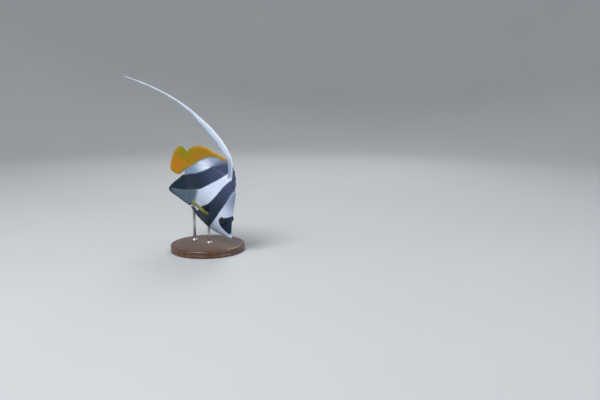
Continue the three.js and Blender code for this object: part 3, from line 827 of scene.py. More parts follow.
# %% Roots of the scales
SCALE_FROM, SCALE_TO = 0.052, 0.992
SNOUT_SCALE, HEAD_SCALE, TRUNK_SCALE, TAIL_SCALE = 0.8 * MM, 1.3 * MM, 2.0 * MM, 1.45 * MM
COLUMN_STEP, ROW_STEP = 0.92, 1.32
EYE_CLEAR = 7.1 * MM
NOSE_PLACE, NOSE_CLEAR = (0.092, 0.039), 3.0 * MM
FLAP_AHEAD, FLAP_BEHIND, FLAP_FREE = 0.005, -0.001, 0.3
BARE_SNOUT, BARE_MORE, BARE_RAGGED = 0.062, 0.03, 0.006
NUDGE = 1e-4
SHORT_OF_EDGE = 1.57


def scale_size(station):
    """Two thirds of a scale's length: small on the snout, largest behind the gill."""
    grown = smooth_step(station, GILL_RING - 0.03, GILL_RING + 0.09)
    trunk = TRUNK_SCALE + (TAIL_SCALE - TRUNK_SCALE) * smooth_step(station, 0.62, 0.98)
    head = SNOUT_SCALE + (HEAD_SCALE - SNOUT_SCALE) * smooth_step(station, 0.05, 0.15)
    return head + (trunk - head) * grown


def unit(vectors):
    return vectors / np.linalg.norm(vectors, axis=-1, keepdims=True)


def set_on_skin(station, turn, side, size):
    """Place, outward direction, lie, size and bake place of things that lie on the skin."""
    def spot(ds, dt):
        return to_world(skin_point(station + ds, np.clip(turn + dt, -SHORT_OF_EDGE, SHORT_OF_EDGE), side))

    lie = spot(NUDGE, 0) - spot(-NUDGE, 0)
    out = np.cross(lie, spot(0, NUDGE) - spot(0, -NUDGE)) * side
    return spot(0, 0), unit(out), unit(lie), size, unwrapped(station, turn, side * np.ones_like(station))


def scale_roots(side, start, end):
    """Roots of the scales on one flank, from one ring to another, column by column."""
    columns = []
    ring = SCALE_FROM
    column = 0
    while ring < end:
        size = float(scale_size(ring))
        fine, length = girth(ring)
        step = ROW_STEP * size
        rows = np.interp(np.arange((0.35 + 0.5 * (column % 2)) * step, length[-1], step), length, fine)
        if ring >= start:
            columns.append(np.stack([warped(ring, rows), rows, np.full(len(rows), size)]))
        ring += COLUMN_STEP * size / BODY_LENGTH
        column += 1
    station, turn, size = np.concatenate(columns, axis=1)
    height = flank(station, turn)[1]
    ahead = gill_edge(height) - station
    flap = (ahead > FLAP_BEHIND) & (ahead < FLAP_AHEAD) & (gill_low(height) > FLAP_FREE)
    share = (height - belly(station)) / (back(station) - belly(station))
    bare = BARE_SNOUT + BARE_MORE * np.sin(math.pi * share) + BARE_RAGGED * np.sin(40 * share)
    keep = ~flap & (station > bare)
    keep &= metres_to((EYE_STATION, EYE_HEIGHT), station, height) > EYE_CLEAR
    keep &= metres_to(NOSE_PLACE, station, height) > NOSE_CLEAR
    return set_on_skin(station[keep], turn[keep], side, size[keep])


print("length of a scale behind the gill, in millimetres:", round(1.5 * float(scale_size(0.45)) / MM, 2))

# %% [markdown]
# One scale is a thin rounded plate, hardly domed, and a closed solid of a few dozen faces. It is
# shaded flat, because smooth shading would make a bead of it. The lateral line, the fish's sense of
# pressure, runs through scales that each carry a small raised tube, and a smooth narrow blank of
# the same make stands for the tube.

# %% One scale and one tube of the lateral line
RIM_POINTS = 12


def make_blank(name, reach_back, reach_ahead, half_across, dome, thick):
    """A thin plate round its root, its lie along X and its outer face up."""
    turns = np.arange(RIM_POINTS) * 2 * math.pi / RIM_POINTS
    reach = np.where(np.cos(turns) > 0, reach_back, reach_ahead)
    along = reach * np.sign(np.cos(turns)) * np.abs(np.cos(turns)) ** 0.75
    across = half_across * np.sin(turns)
    points = [(0.0, 0.0, dome)]
    for share, rise in ((0.88, 0.3 * dome), (1.0, 0.0), (0.98, -thick)):
        points += [(share * x, share * y, rise) for x, y in zip(along, across)]
    faces = []
    for i in range(RIM_POINTS):
        j = (i + 1) % RIM_POINTS
        faces.append((0, 1 + i, 1 + j))
        for ring in (0, 1):
            a, b = 1 + ring * RIM_POINTS + i, 1 + ring * RIM_POINTS + j
            faces.append((a, a + RIM_POINTS, b + RIM_POINTS, b))
    faces.append(tuple(1 + 2 * RIM_POINTS + i for i in reversed(range(RIM_POINTS))))
    blank = new_piece(name, points, faces)
    flat = np.array(points)
    store(blank, "scale_local", np.stack([flat[:, 0], flat[:, 1], 0 * flat[:, 0]], axis=-1))
    return blank


scale_blank = make_blank("scale_blank", 0.80, 0.70, 0.73, 0.022, 0.03)
tube_blank = make_blank("tube_blank", 0.60, 0.60, 0.17, 0.18, 0.12)
smooth(tube_blank)
print("triangles of one scale:", triangles(scale_blank))

# %% [markdown]
# Thousands of scales are a job for Geometry Nodes. The tree turns each root into a point, sets one
# blank on it with its outer face outwards, lifts the free edge by a few degrees and tilts each blank
# a little at random from a fixed seed. It ends in real geometry with one material, and the result
# is kept as a plain mesh.

# %% Geometry Nodes helpers
DEGREE = math.radians(1)


def new_tree(name, inputs):
    """A Geometry Nodes tree with named inputs: (name, socket type, value or None)."""
    tree = bpy.data.node_groups.new(name, "GeometryNodeTree")
    add_inputs(tree, [("Geometry", "NodeSocketGeometry", None)] + inputs)
    tree.interface.new_socket("Geometry", in_out="OUTPUT", socket_type="NodeSocketGeometry")
    return tree, tree.nodes.new("NodeGroupInput").outputs, tree.nodes.new("NodeGroupOutput").inputs


def named(tree, name, kind):
    return add_node(tree, "GeometryNodeInputNamedAttribute", {"Name": name}, data_type=kind).outputs[0]


def end_tree(tree, geometry, finish, out):
    """Ends a tree in real geometry with one material."""
    real = add_node(tree, "GeometryNodeRealizeInstances", {0: geometry})
    painted = add_node(tree, "GeometryNodeSetMaterial", {"Geometry": real.outputs[0], "Material": finish})
    set_socket(tree, out["Geometry"], painted.outputs[0])


def grow(piece, tree, **values):
    """Runs a tree on a piece, keeps the result as a plain mesh and removes the modifier."""
    modifier = piece.modifiers.new("grow", "NODES")
    modifier.node_group = tree
    for item in tree.interface.items_tree:
        if item.in_out == "INPUT" and item.name.replace(" ", "_") in values:
            modifier[item.identifier] = values[item.name.replace(" ", "_")]
    bpy.context.view_layer.update()
    evaluated = piece.evaluated_get(bpy.context.evaluated_depsgraph_get())
    made = bpy.data.meshes.new_from_object(evaluated)
    piece.modifiers.remove(modifier)
    made.name = piece.name
    piece.data = made
    return piece


def make_scale_tree():
    tree, given, out = new_tree("scale coat", [
        ("Blank", "NodeSocketObject", None),
        ("Lift angle", "NodeSocketFloat", 7.0),
        ("Disorder", "NodeSocketFloat", 2.5),
        ("Seed", "NodeSocketInt", 7),
        ("Finish", "NodeSocketMaterial", None),
    ])
    roots = add_node(tree, "GeometryNodeMeshToPoints", {"Mesh": given["Geometry"]})
    blank = add_node(tree, "GeometryNodeObjectInfo", {"Object": given["Blank"]})
    facing = add_node(tree, "FunctionNodeAxesToRotation", {
        "Primary Axis": named(tree, "outward", "FLOAT_VECTOR"),
        "Secondary Axis": named(tree, "lie", "FLOAT_VECTOR"),
    }, primary_axis="Z", secondary_axis="X")
    spread = add_node(tree, "FunctionNodeRandomValue", {
        "Min": product(tree, given["Disorder"], -DEGREE),
        "Max": product(tree, given["Disorder"], DEGREE),
        "Seed": given["Seed"],
    }, data_type="FLOAT_VECTOR")
    tilt = add_node(tree, "ShaderNodeCombineXYZ", {1: product(tree, given["Lift angle"], -DEGREE)})
    both = add_node(tree, "ShaderNodeVectorMath", {0: tilt.outputs[0], 1: spread.outputs[0]})
    turned_on = add_node(tree, "FunctionNodeRotateRotation", {
        "Rotation": facing.outputs[0],
        "Rotate By": both.outputs[0],
    }, rotation_space="LOCAL")
    set_on = add_node(tree, "GeometryNodeInstanceOnPoints", {
        "Points": roots.outputs[0],
        "Instance": blank.outputs["Geometry"],
        "Rotation": turned_on.outputs[0],
        "Scale": named(tree, "size", "FLOAT"),
    })
    end_tree(tree, set_on.outputs[0], given["Finish"], out)
    return tree


scale_tree = make_scale_tree()
print("nodes in the scale tree:", len(scale_tree.nodes))

# %% [markdown]
# A scale shows the paint at its place, a shade darker along its free edge, and each one has its own
# faint tint. Fine grooves run along it, and only a bump can be as shallow as they are.

# %% Scale finish
SCALE_EDGE_SHADE = (0.52, 0.58, 0.66)


def make_scale_finish():
    material, tree, shader = new_material("scales")
    tint = attribute_of(tree, "tint", "Fac")
    local = attribute_of(tree, "scale_local")
    paint = use_group(tree, fish_paint, Place=attribute_of(tree, PLACE), Blur=0.006, Tint=tint)
    rim = product(tree, in_range(tree, split(tree, local)[0], 0.35, 0.78), 0.32)
    rim = product(tree, rim, rest_of(tree, paint["Dark"]))
    edge = blend_colours(tree, 1.0, paint["Colour"], SCALE_EDGE_SHADE, "MULTIPLY")
    fill(tree, shader, Base_Color=blend_colours(tree, rim, paint["Colour"], edge),
         Roughness=in_range(tree, tint, 0, 1, 0.36, 0.5),
         Normal=bump(tree, wave(tree, local, 3.2), 0.18, 0.08 * MM),
         Coat_Weight=0.09, Coat_Roughness=0.2, Specular_IOR_Level=0.2)
    return material


scale_finish = make_scale_finish()
print("nodes in the scale finish:", len(scale_finish.node_tree.nodes))

# %% [markdown]
# Each flank gets two pieces of scales, ahead of and behind the middle of the body, and a third one
# for the lateral line. It rises in an arch from the gill, high over the middle of the flank, and
# comes down to the middle of the tail.

# %% The scales and the lateral line
BAKE_PATCH = 0.0015
COAT_SPLIT = 0.5
DISORDER = 1.2
SCALE_LIFT, TUBE_LIFT = 5.0, 3.0
TUBE_STEP, TUBE_SIZE, TUBE_OFF = 0.0145, 1.6 * MM, 0.14 * MM
LATERAL_LINE = [(0.315, 0.2), (0.345, 0.268), (0.4, 0.322), (0.47, 0.345), (0.56, 0.335), (0.66, 0.285),
                (0.76, 0.2), (0.85, 0.11), (0.91, 0.05), (0.985, 0.006)]
shuffle = np.random.default_rng(41)


def set_scales(name, roots, blank=scale_blank, lift=SCALE_LIFT):
    """Sets one blank on each root and gives the piece its bake map and markings."""
    places, out, lie, size, bake = roots
    coat = new_piece(name, places, [])
    store(coat, "outward", out)
    store(coat, "lie", lie)
    store(coat, "size", size, "FLOAT")
    store(coat, "tint", shuffle.random(len(size)), "FLOAT")
    store(coat, "bake_root", np.c_[bake, np.zeros(len(bake))])
    grow(coat, scale_tree, Blank=blank, Lift_angle=lift, Disorder=DISORDER, Seed=7, Finish=scale_finish)
    local = vectors_of(coat.data.attributes["scale_local"].data)
    root = vectors_of(coat.data.attributes["bake_root"].data)
    set_bake_map(coat, root[:, :2] + BAKE_PATCH * local[:, :2])
    store(coat, PLACE, place_of(to_fish(vectors_of(coat.data.vertices, "co"))))
    print(name, "scales:", len(size), "triangles:", triangles(coat))
    return coat


def length_along(line):
    """Length along a line, up to each of its points."""
    return np.r_[0, np.cumsum(np.linalg.norm(np.diff(line, axis=0), axis=1))]


def lateral_line(side):
    """Tubes spaced evenly along the lateral line."""
    line = np.array(fine_route(LATERAL_LINE, 24))
    length = length_along(line)
    wanted = np.arange(0, length[-1], TUBE_STEP)
    station, height = (np.interp(wanted, length, line[:, k]) for k in (0, 1))
    sizes = np.full(len(wanted), TUBE_SIZE)
    place, out, _, size, bake = set_on_skin(station, turn_at(station, height), side, sizes)
    return place + TUBE_OFF * out, out, unit(np.gradient(place, axis=0)), size, bake


coats = []
for label, side in (("left", 1), ("right", -1)):
    coats.append(set_scales("scales_front_" + label, scale_roots(side, 0, COAT_SPLIT)))
    coats.append(set_scales("scales_rear_" + label, scale_roots(side, COAT_SPLIT, SCALE_TO)))
    coats.append(set_scales("lateral_line_" + label, lateral_line(side), tube_blank, TUBE_LIFT))

# %% [markdown]
# A fin is a thin membrane held out by rays. The spines are stiff and end in a point. The soft rays
# are jointed and split in two, and in two again, towards the edge. Here the membrane is a closed
# sheet that grows thick at its root, where skin and scales run up on it, and Geometry Nodes turn
# the lines of the rays into tapered tubes and join them to it.

# %% Sheets and rays
FIN_HALF = 0.24 * MM
FIN_EDGE_HALF = 0.13 * MM
ROOT_FLARE = 1.3 * MM
ROOT_FADE = 3.2 * MM
FIN_GRID = "fin_grid"
RAY_RADIUS = "ray_radius"


def sheet_normals(points):
    """Directions square to a sheet, from a grid of its points."""
    across = np.gradient(points, axis=1)
    along = np.gradient(points, axis=0)
    normal = np.cross(across, along)
    return normal / np.maximum(np.linalg.norm(normal, axis=-1, keepdims=True), 1e-12)


def sheet_faces(rows, columns):
    """Faces of both sides and of the rim of a closed sheet."""
    faces = []
    side = rows * columns
    for row in range(rows - 1):
        for column in range(columns - 1):
            a = row * columns + column
            quad = (a, a + 1, a + columns + 1, a + columns)
            faces.append(quad)
            faces.append(tuple(side + corner for corner in reversed(quad)))
    rim = [column for column in range(columns)]
    rim += [row * columns + columns - 1 for row in range(1, rows)]
    rim += [(rows - 1) * columns + column for column in range(columns - 2, -1, -1)]
    rim += [row * columns for row in range(rows - 2, 0, -1)]
    for first, second in zip(rim, rim[1:] + rim[:1]):
        faces.append((second, first, first + side, second + side))
    return faces


fin_faces = {}


def make_sheet(name, points, half, grid, bend=True):
    """A closed sheet from a grid of middle points in the straight fish."""
    rows, columns = half.shape
    lift = sheet_normals(points) * half[..., None]
    both = np.concatenate([(points + lift).reshape(-1, 3), (points - lift).reshape(-1, 3)])
    sheet = new_piece(name, to_world(both, bend), sheet_faces(rows, columns))
    smooth(sheet)
    way = np.sign(lift[..., 1].mean())
    fin_faces[name] = {1: points + way * lift, -1: points - way * lift}
    flat = grid.reshape(-1, 3)
    middle = points.reshape(-1, 3)
    store(sheet, PLACE, np.concatenate([place_of(middle), place_of(middle)]))
    store(sheet, FIN_GRID, np.concatenate([flat, flat]))
    return sheet


def make_lines(name, lines, bend=True):
    """Lines of a fin's rays. Each line is (points, radii, grid values), in the straight fish."""
    points = np.concatenate([line[0] for line in lines])
    edges = []
    start = 0
    for line in lines:
        edges += [(start + i, start + i + 1) for i in range(len(line[0]) - 1)]
        start += len(line[0])
    piece = new_piece(name, to_world(points, bend), [], edges)
    store(piece, PLACE, place_of(points))
    store(piece, RAY_RADIUS, np.concatenate([line[1] for line in lines]), "FLOAT")
    store(piece, FIN_GRID, np.concatenate([line[2] for line in lines]))
    return piece


def make_ray_tree():
    tree, given, out = new_tree("rays over a membrane", [
        ("Membrane", "NodeSocketObject", None),
        ("Sides", "NodeSocketInt", 8),
        ("Finish", "NodeSocketMaterial", None),
    ])
    route = add_node(tree, "GeometryNodeMeshToCurve", {0: given["Geometry"]})
    section = add_node(tree, "GeometryNodeCurvePrimitiveCircle", {"Resolution": given["Sides"], "Radius": 1})
    tube = add_node(tree, "GeometryNodeCurveToMesh", {
        "Curve": route.outputs[0],
        "Profile Curve": section.outputs[0],
        "Scale": named(tree, RAY_RADIUS, "FLOAT"),
        "Fill Caps": True,
    })
    rounded = add_node(tree, "GeometryNodeSetShadeSmooth", {0: tube.outputs[0]})
    sheet = add_node(tree, "GeometryNodeObjectInfo", {"Object": given["Membrane"]})
    joined = add_node(tree, "GeometryNodeJoinGeometry", {0: rounded.outputs[0]})
    set_socket(tree, joined.inputs[0], sheet.outputs["Geometry"])
    end_tree(tree, joined.outputs[0], given["Finish"], out)
    return tree


ray_tree = make_ray_tree()
print("nodes in the ray tree:", len(ray_tree.nodes))


def finish_fin(name, lines, sheet, finish, sides=8):
    """Joins the rays to the membrane and keeps one piece."""
    fin = grow(lines, ray_tree, Membrane=sheet, Sides=sides, Finish=finish)
    bpy.data.objects.remove(sheet)
    fin.name = name
    print(name, "triangles:", triangles(fin))
    return fin


# %% [markdown]
# The rays of one fin are numbered along its root. A spine is one smooth bar. A soft ray starts as
# one bar, splits at two fifths of its length and again at three quarters, and its branches spread
# until they nearly meet those of the next ray. The edge of the membrane draws in a little between
# two rays.

# %% One ray and its branches
FIRST_SPLIT, SECOND_SPLIT = 0.42, 0.74
FIRST_SPREAD, SECOND_SPREAD = 0.19, 0.1
OVERLAP = 0.02
SOFT_TIP = 0.97
SOFT_TAPER, SPINE_TAPER = 0.68, 0.86
BRANCH_THIN, TWIG_THIN = 0.84, 0.76


def spread_at(t, split_at, spread):
    """How far a branch has left its ray, as a share of the step to the next ray."""
    straight = np.clip((t - split_at) / (1 - split_at), 0, 1)
    return spread * smooth_step(t, split_at, 1.0) + 0.6 * spread * straight


def soft_ray(surface, ray, rays, radius):
    """Lines of a soft ray: its stem, its two branches and their four twigs."""
    du = 1 / (rays - 1)
    lines = []

    def line(t0, t1, steps, offset, thin):
        t = np.linspace(t0, t1, steps)
        u = np.clip(ray * du + offset(t) * du, 0, 1)
        grid = np.stack([u * (rays - 1), t, np.ones_like(t)], axis=-1)
        lines.append((surface(u, t), radius * thin * (1 - SOFT_TAPER * t), grid))

    line(0.0, FIRST_SPLIT + OVERLAP, 12, lambda t: 0 * t, 1.0)
    for first in (-1, 1):
        branch = lambda t, first=first: first * spread_at(t, FIRST_SPLIT, FIRST_SPREAD)
        line(FIRST_SPLIT, SECOND_SPLIT + OVERLAP, 9, branch, BRANCH_THIN)
        for second in (-1, 1):
            twig = lambda t, second=second: branch(t) + second * spread_at(t, SECOND_SPLIT, SECOND_SPREAD)
            line(SECOND_SPLIT, SOFT_TIP, 8, twig, TWIG_THIN)
    return lines


def hard_spine(surface, ray, rays, radius):
    """The line of a spine, as a list like that of a soft ray."""
    t = np.linspace(0, 1, 26)
    u = np.full_like(t, ray / (rays - 1))
    grid = np.stack([u * (rays - 1), t, 2 * np.ones_like(t)], axis=-1)
    return [(surface(u, t), radius * (1 - SPINE_TAPER * t**1.3), grid)]


def rays_of(surface, rays, spines, spine_size, ray_size):
    """Lines of all the rays of a fin, its spines first."""
    lines = []
    for i in range(rays):
        if i < spines:
            lines += hard_spine(surface, i, rays, spine_size)
        else:
            lines += soft_ray(surface, i, rays, ray_size)
    return lines


# %% [markdown]
# Back fin, anal fin and tail fin stand on the middle plane. A fin is given by its line of roots,
# sunk into the body, and by the line of its tips, and each ray runs from one to the other with a
# slight bow. The membrane is thinner between two rays and waves a little towards its edge.

# %% Fins on the middle plane
SINK = 4 * MM
PER_RAY = 8
FIN_ROWS, PAIRED_ROWS = 44, 40
SOFT_NOTCH = 0.012


def roots_along(profile, start, end, inward):
    """Roots along the back or the belly, sunk into the body."""
    station = lambda u: start + (end - start) * u
    return lambda u: (station(u), profile(station(u)) + inward * SINK / BODY_LENGTH)


def tips_along(points):
    """A smooth edge through a few (station, height) points, evenly numbered."""
    knots = np.linspace(0, 1, len(points))
    station = curve_through(list(zip(knots, [p[0] for p in points])))
    height = curve_through(list(zip(knots, [p[1] for p in points])))
    return lambda u: (station(u), height(u))


def fin_surface(root, tip, bow, wave_height):
    """The middle surface of a median fin: u runs along the root, t from the root to the edge."""
    def surface(u, t):
        s0, z0 = root(u)
        s1, z1 = tip(u)
        sway = bow(u) * np.sin(math.pi * t)
        station = s0 + (s1 - s0) * t - (z1 - z0) * sway
        height = z0 + (z1 - z0) * t + (s1 - s0) * sway
        left = wave_height * t**1.5 * np.sin(2 * math.pi * (2.3 * u + 0.6 * t))
        return in_fish(station, height, left)
    return surface


def fin_shares(rays, rows):
    """Shares along the root and out to the edge, for each point of a membrane's grid."""
    columns = (rays - 1) * PER_RAY + 1
    return np.meshgrid(np.linspace(0, 1, columns), np.linspace(0, 1, rows))


def half_thickness(t):
    """Half the thickness of a membrane, from its root to its edge."""
    return FIN_EDGE_HALF + (FIN_HALF - FIN_EDGE_HALF) * (1 - t)


def median_fin(name, rays, root, tip, finish, spines=0, bow=lambda u: 0 * u, spine_notch=0.05,
               wave_height=0.35 * MM, ray_size=0.42 * MM, spine_size=0.8 * MM, flare=ROOT_FLARE):
    """A fin on the middle plane, with a notch in its edge between any two rays."""
    surface = fin_surface(root, tip, bow, wave_height)
    u, t = fin_shares(rays, FIN_ROWS)
    ray = u * (rays - 1)
    between_rays = np.sin(math.pi * (ray % 1))
    notch = np.where(ray < spines - 0.5, spine_notch, SOFT_NOTCH)
    points = surface(u, t * (1 - notch * between_rays))
    from_root = np.linalg.norm(points - points[:1], axis=-1) - SINK
    half = half_thickness(t) * (1 - 0.35 * between_rays)
    half = half + flare * np.exp(-np.maximum(from_root, 0) / ROOT_FADE)
    half = half * np.minimum(1, 0.35 + 8 * np.minimum(u, 1 - u) * (rays - 1) / PER_RAY)
    sheet = make_sheet(name + "_membrane", points, half, np.stack([ray, t, 0 * t], axis=-1))
    lines = rays_of(surface, rays, spines, spine_size, ray_size)
    return finish_fin(name, make_lines(name + "_rays", lines), sheet, finish)


# %% [markdown]
# Fin membranes are thin enough to let light through. The finish follows the fish's markings, turns
# darker along the rays, brighter along a yellow edge, and lets the clear parts show what is behind
# them. Cross lines on the soft rays mark their joints. The anal fin also has a dark line round it.

# %% Fin finish
RAY_SHADE = (0.66, 0.60, 0.56)
MEMBRANE_CLEAR = 0.06
JOINTS = 9


def ray_relief(tree, grid, is_ray, wrinkles):
    """Normal of a fin: the joints across its rays and the wrinkles of its membrane."""
    jointed = product(tree, wave(tree, grid, JOINTS), is_ray)
    wrinkled = noise(tree, stretched(tree, grid, (4.0, wrinkles, 1.0)), 1.0, 3)
    return bump(tree, maths(tree, "ADD", jointed, wrinkled), 0.5, 0.1 * MM)


def make_fin_finish(name, edge_line=0.0):
    """The fish's paint on a membrane and its rays. The edge line is the strength of a dark rim."""
    material, tree, shader = new_material(name)
    place = attribute_of(tree, PLACE)
    grid = attribute_of(tree, FIN_GRID)
    ray, along, kind = split(tree, grid)
    paint = use_group(tree, fish_paint, Place=place, Blur=0.009, Tint=0.3)
    is_ray = in_range(tree, kind, 0.2, 0.8)
    deeper = blend_colours(tree, 1.0, paint["Colour"], RAY_SHADE, "MULTIPLY")
    colour = blend_colours(tree, product(tree, is_ray, 0.45), paint["Colour"], deeper)
    streaks = noise(tree, stretched(tree, grid, (9.0, 1.2, 1.0)), 1.0, 3)
    colour = blend_colours(tree, in_range(tree, streaks, 0.45, 0.75, 0.0, 0.3), colour, deeper)
    bright = product(tree, in_range(tree, along, 0.78, 0.97), paint["Yellow"])
    bright = product(tree, bright, in_range(tree, split(tree, place)[0], 1.0, 0.85, 0.4, 1.0))
    colour = blend_colours(tree, bright, colour, RIM_YELLOW)
    rim = product(tree, in_range(tree, along, 0.85, 0.93), in_range(tree, ray, 14.5, 11.0))
    line = strongest(tree, rim, in_range(tree, ray, 0.8, 0.3))
    colour = blend_colours(tree, product(tree, line, edge_line), colour, DARK)
    clear = product(tree, rest_of(tree, is_ray), MEMBRANE_CLEAR)
    clear = product(tree, clear, rest_of(tree, paint["Dark"]))
    clear = product(tree, clear, in_range(tree, along, 0.25, 0.6))
    fill(tree, shader, Base_Color=colour, Roughness=varied(tree, streaks, 0.38, 0.54),
         Alpha=rest_of(tree, clear), Normal=ray_relief(tree, grid, is_ray, 26.0),
         Coat_Weight=0.06, Coat_Roughness=0.22, Specular_IOR_Level=0.18)
    return material


fin_finish = make_fin_finish("fin membrane")
anal_finish = make_fin_finish("anal fin membrane", edge_line=0.95)
print("nodes in the fin finish:", len(fin_finish.node_tree.nodes))

# %% [markdown]
# The front of the back fin is a fin of four spines, the longest of which carries the banner. The
# rest is one membrane over eight spines and twenty-two soft rays. The tail fin spreads like a fan,
# and its outer rays bow apart.

# %% Back fin, anal fin and tail fin
def in_turn(first, second, first_rays, second_rays):
    """Joins two fins into one: the rays of the first, then those of the second."""
    def value(u):
        ray = u * (first_rays + second_rays - 1)
        one = first(np.clip(ray / (first_rays - 1), 0, 1))
        two = second(np.clip((ray - first_rays) / (second_rays - 1), 0, 1))
        share = np.clip(ray - (first_rays - 1), 0, 1)
        return tuple(a * (1 - share) + b * share for a, b in zip(one, two))
    return value


SPINY_RAYS, SOFT_RAYS = 8, 22
dorsal_front = median_fin(
    "dorsal_front", 4, roots_along(back, 0.288, 0.43, -1),
    tips_along([(0.33, 0.478), (0.38, 0.53), (0.432, 0.572), (0.485, 0.59)]),
    fin_finish, spines=4, spine_notch=0.09, wave_height=0.15 * MM, spine_size=0.95 * MM,
)
dorsal_rear = median_fin(
    "dorsal_rear", SPINY_RAYS + SOFT_RAYS,
    in_turn(roots_along(back, 0.432, 0.7, -1), roots_along(back, 0.705, 0.955, -1), SPINY_RAYS, SOFT_RAYS),
    in_turn(tips_along([(0.597, 0.585), (0.645, 0.561), (0.697, 0.533), (0.757, 0.5), (0.826, 0.464)]),
            tips_along([(0.832, 0.461), (0.897, 0.43), (0.968, 0.37), (1.02, 0.303), (1.054, 0.243),
                        (1.068, 0.195), (1.06, 0.158), (1.03, 0.132)]), SPINY_RAYS, SOFT_RAYS),
    fin_finish, spines=SPINY_RAYS, spine_notch=0.055, wave_height=0.3 * MM, spine_size=0.85 * MM,
    bow=lambda u: 0.03 * smooth_step(u, 0.2, 0.3),
)
anal = median_fin(
    "anal", 21, roots_along(belly, 0.645, 0.935, 1),
    tips_along([(0.665, -0.345), (0.75, -0.388), (0.85, -0.43), (0.95, -0.47), (1.012, -0.468),
                (1.02, -0.4), (1.003, -0.31), (0.975, -0.21), (0.955, -0.125)]),
    anal_finish, spines=3, spine_notch=0.03, bow=lambda u: -0.03 + 0 * u,
)
caudal = median_fin(
    "caudal", 17, lambda u: (0.975 + 0 * u, 0.05 - 0.1 * u),
    tips_along([(1.118, 0.163), (1.163, 0.146), (1.195, 0.096), (1.205, 0.028), (1.199, -0.05),
                (1.185, -0.125), (1.159, -0.194), (1.117, -0.235)]),
    fin_finish, bow=lambda u: 0.22 * (1 - 2 * u), ray_size=0.46 * MM, flare=0.9 * MM,
)

# %% [markdown]
# On this family the scales climb from the body onto the soft fins, smaller and smaller, and cover
# nearly half of them. They are laid in rows along the faces of the finished membranes.

# %% Scales on the fins
FIN_SCALE = 1.35 * MM
FIN_SCALES_SUNK = 0.7
HALF_CELL = 0.4


def sample(grid, row, column):
    """Points of a grid between its rows and columns."""
    row = np.clip(row, 0, grid.shape[0] - 1.001)
    column = np.clip(column, 0, grid.shape[1] - 1.001)
    i, j = row.astype(int), column.astype(int)
    a, b = (row - i)[:, None], (column - j)[:, None]
    low = grid[i, j] * (1 - b) + grid[i, j + 1] * b
    high = grid[i + 1, j] * (1 - b) + grid[i + 1, j + 1] * b
    return low * (1 - a) + high * a


def fin_scale_roots(fin, side, cover):
    """Roots in rows over one face of a fin. cover gives how far out they reach along the fin."""
    faces = fin_faces[fin + "_membrane"]
    grid = faces[side]
    rows, columns = grid.shape[:2]
    mean_length = np.linalg.norm(grid[-1] - grid[0], axis=-1).mean()
    parts = []
    distance = FIN_SCALES_SUNK * SINK
    line = 0
    while distance < mean_length:
        size = FIN_SCALE * (1 - 0.45 * smooth_step(distance, SINK, 0.55 * mean_length))
        row = distance / mean_length * (rows - 1)
        run = length_along(sample(grid, np.full(columns, row), np.arange(columns, dtype=float)))
        wanted = np.arange((0.3 + 0.5 * (line % 2)) * ROW_STEP * size, run[-1], ROW_STEP * size)
        column = np.interp(wanted, run, np.arange(columns))
        parts.append(np.stack([0 * column + row, column, 0 * column + size], axis=-1))
        distance += COLUMN_STEP * size
        line += 1
    row, column, size = np.concatenate(parts).T
    u, t = column / (columns - 1), row / (rows - 1)
    ragged = 0.05 * np.sin(47 * u) + 0.04 * np.sin(101 * u + 1)
    keep = t < cover(u) * (1 + ragged)
    row, column, size, u, t = row[keep], column[keep], size[keep], u[keep], t[keep]
    spot = lambda dr, dc: to_world(sample(grid, row + dr, column + dc))
    lie = spot(HALF_CELL, 0) - spot(-HALF_CELL, 0)
    out = unit(np.cross(lie, spot(0, HALF_CELL) - spot(0, -HALF_CELL)))
    left = to_world(sample(faces[1], row, column))
    right = to_world(sample(faces[-1], row, column))
    out = out * np.sign(np.sum(out * (left - right) * side, axis=1, keepdims=True))
    return spot(0, 0), out, unit(lie), size, side_by_side(u, t, side)


COVERS = {
    "dorsal_rear": lambda u: 0.14 + 0.30 * smooth_step(u, 0.2, 0.42) * (1 - 0.35 * smooth_step(u, 0.7, 1)),
    "anal": lambda u: 0.24 + 0.18 * smooth_step(u, 0.08, 0.3) * (1 - 0.3 * smooth_step(u, 0.75, 1)),
    "caudal": lambda u: 0.2 + 0 * u,
}
for fin, cover in COVERS.items():
    for label, side in (("left", 1), ("right", -1)):
        coats.append(set_scales("scales_" + fin + "_" + label, fin_scale_roots(fin, side, cover)))

# %% [markdown]
# The breast fins and belly fins come in pairs. Each is a fan on an axis of its own: it starts as a
# narrow row of rays in the body and turns and spreads as it goes out. The right one is the left one
# mirrored point by point, with its rays counted the other way, so that no face turns inside out.

# %% Paired fins
ROOT_SWELL, SWELL_FADE = 0.5 * MM, 3 * MM


def paired_fin(name, side, root, root_line, axis, blade, rays, length, spread, ends, finish, spines=0,
               spine_size=0.7 * MM, ray_size=0.36 * MM):
    """A fan from a place in the body. spread is its width at the root and at the edge."""
    outline = curve_through(ends)
    aim, start, opened = unit(np.array([axis, root_line, blade], float))
    origin = in_fish(*root)

    def surface(u, t):
        share = smooth_step(t, 0, 0.5)[..., None]
        across = unit(start * (1 - share) + opened * share)
        wide = spread[0] + (spread[1] - spread[0]) * np.sin(t * math.pi / 2)
        reach = length * outline(u) * t
        points = origin + aim * reach[..., None] + across * ((u - 0.5) * wide)[..., None]
        return points * np.array([1, side, 1])

    u, t = fin_shares(rays, PAIRED_ROWS)
    if side < 0:
        u = u[:, ::-1]
    ray = u * (rays - 1)
    between_rays = np.sin(math.pi * (ray % 1))
    points = surface(u, t * (1 - 0.035 * between_rays))
    half = half_thickness(t) * (1 - 0.3 * between_rays) + ROOT_SWELL * np.exp(-t * length / SWELL_FADE)
    sheet = make_sheet(name + "_membrane", points, half, np.stack([ray, t, 0 * t], axis=-1))
    lines = rays_of(surface, rays, spines, spine_size, ray_size)
    return finish_fin(name, make_lines(name + "_rays", lines), sheet, finish)


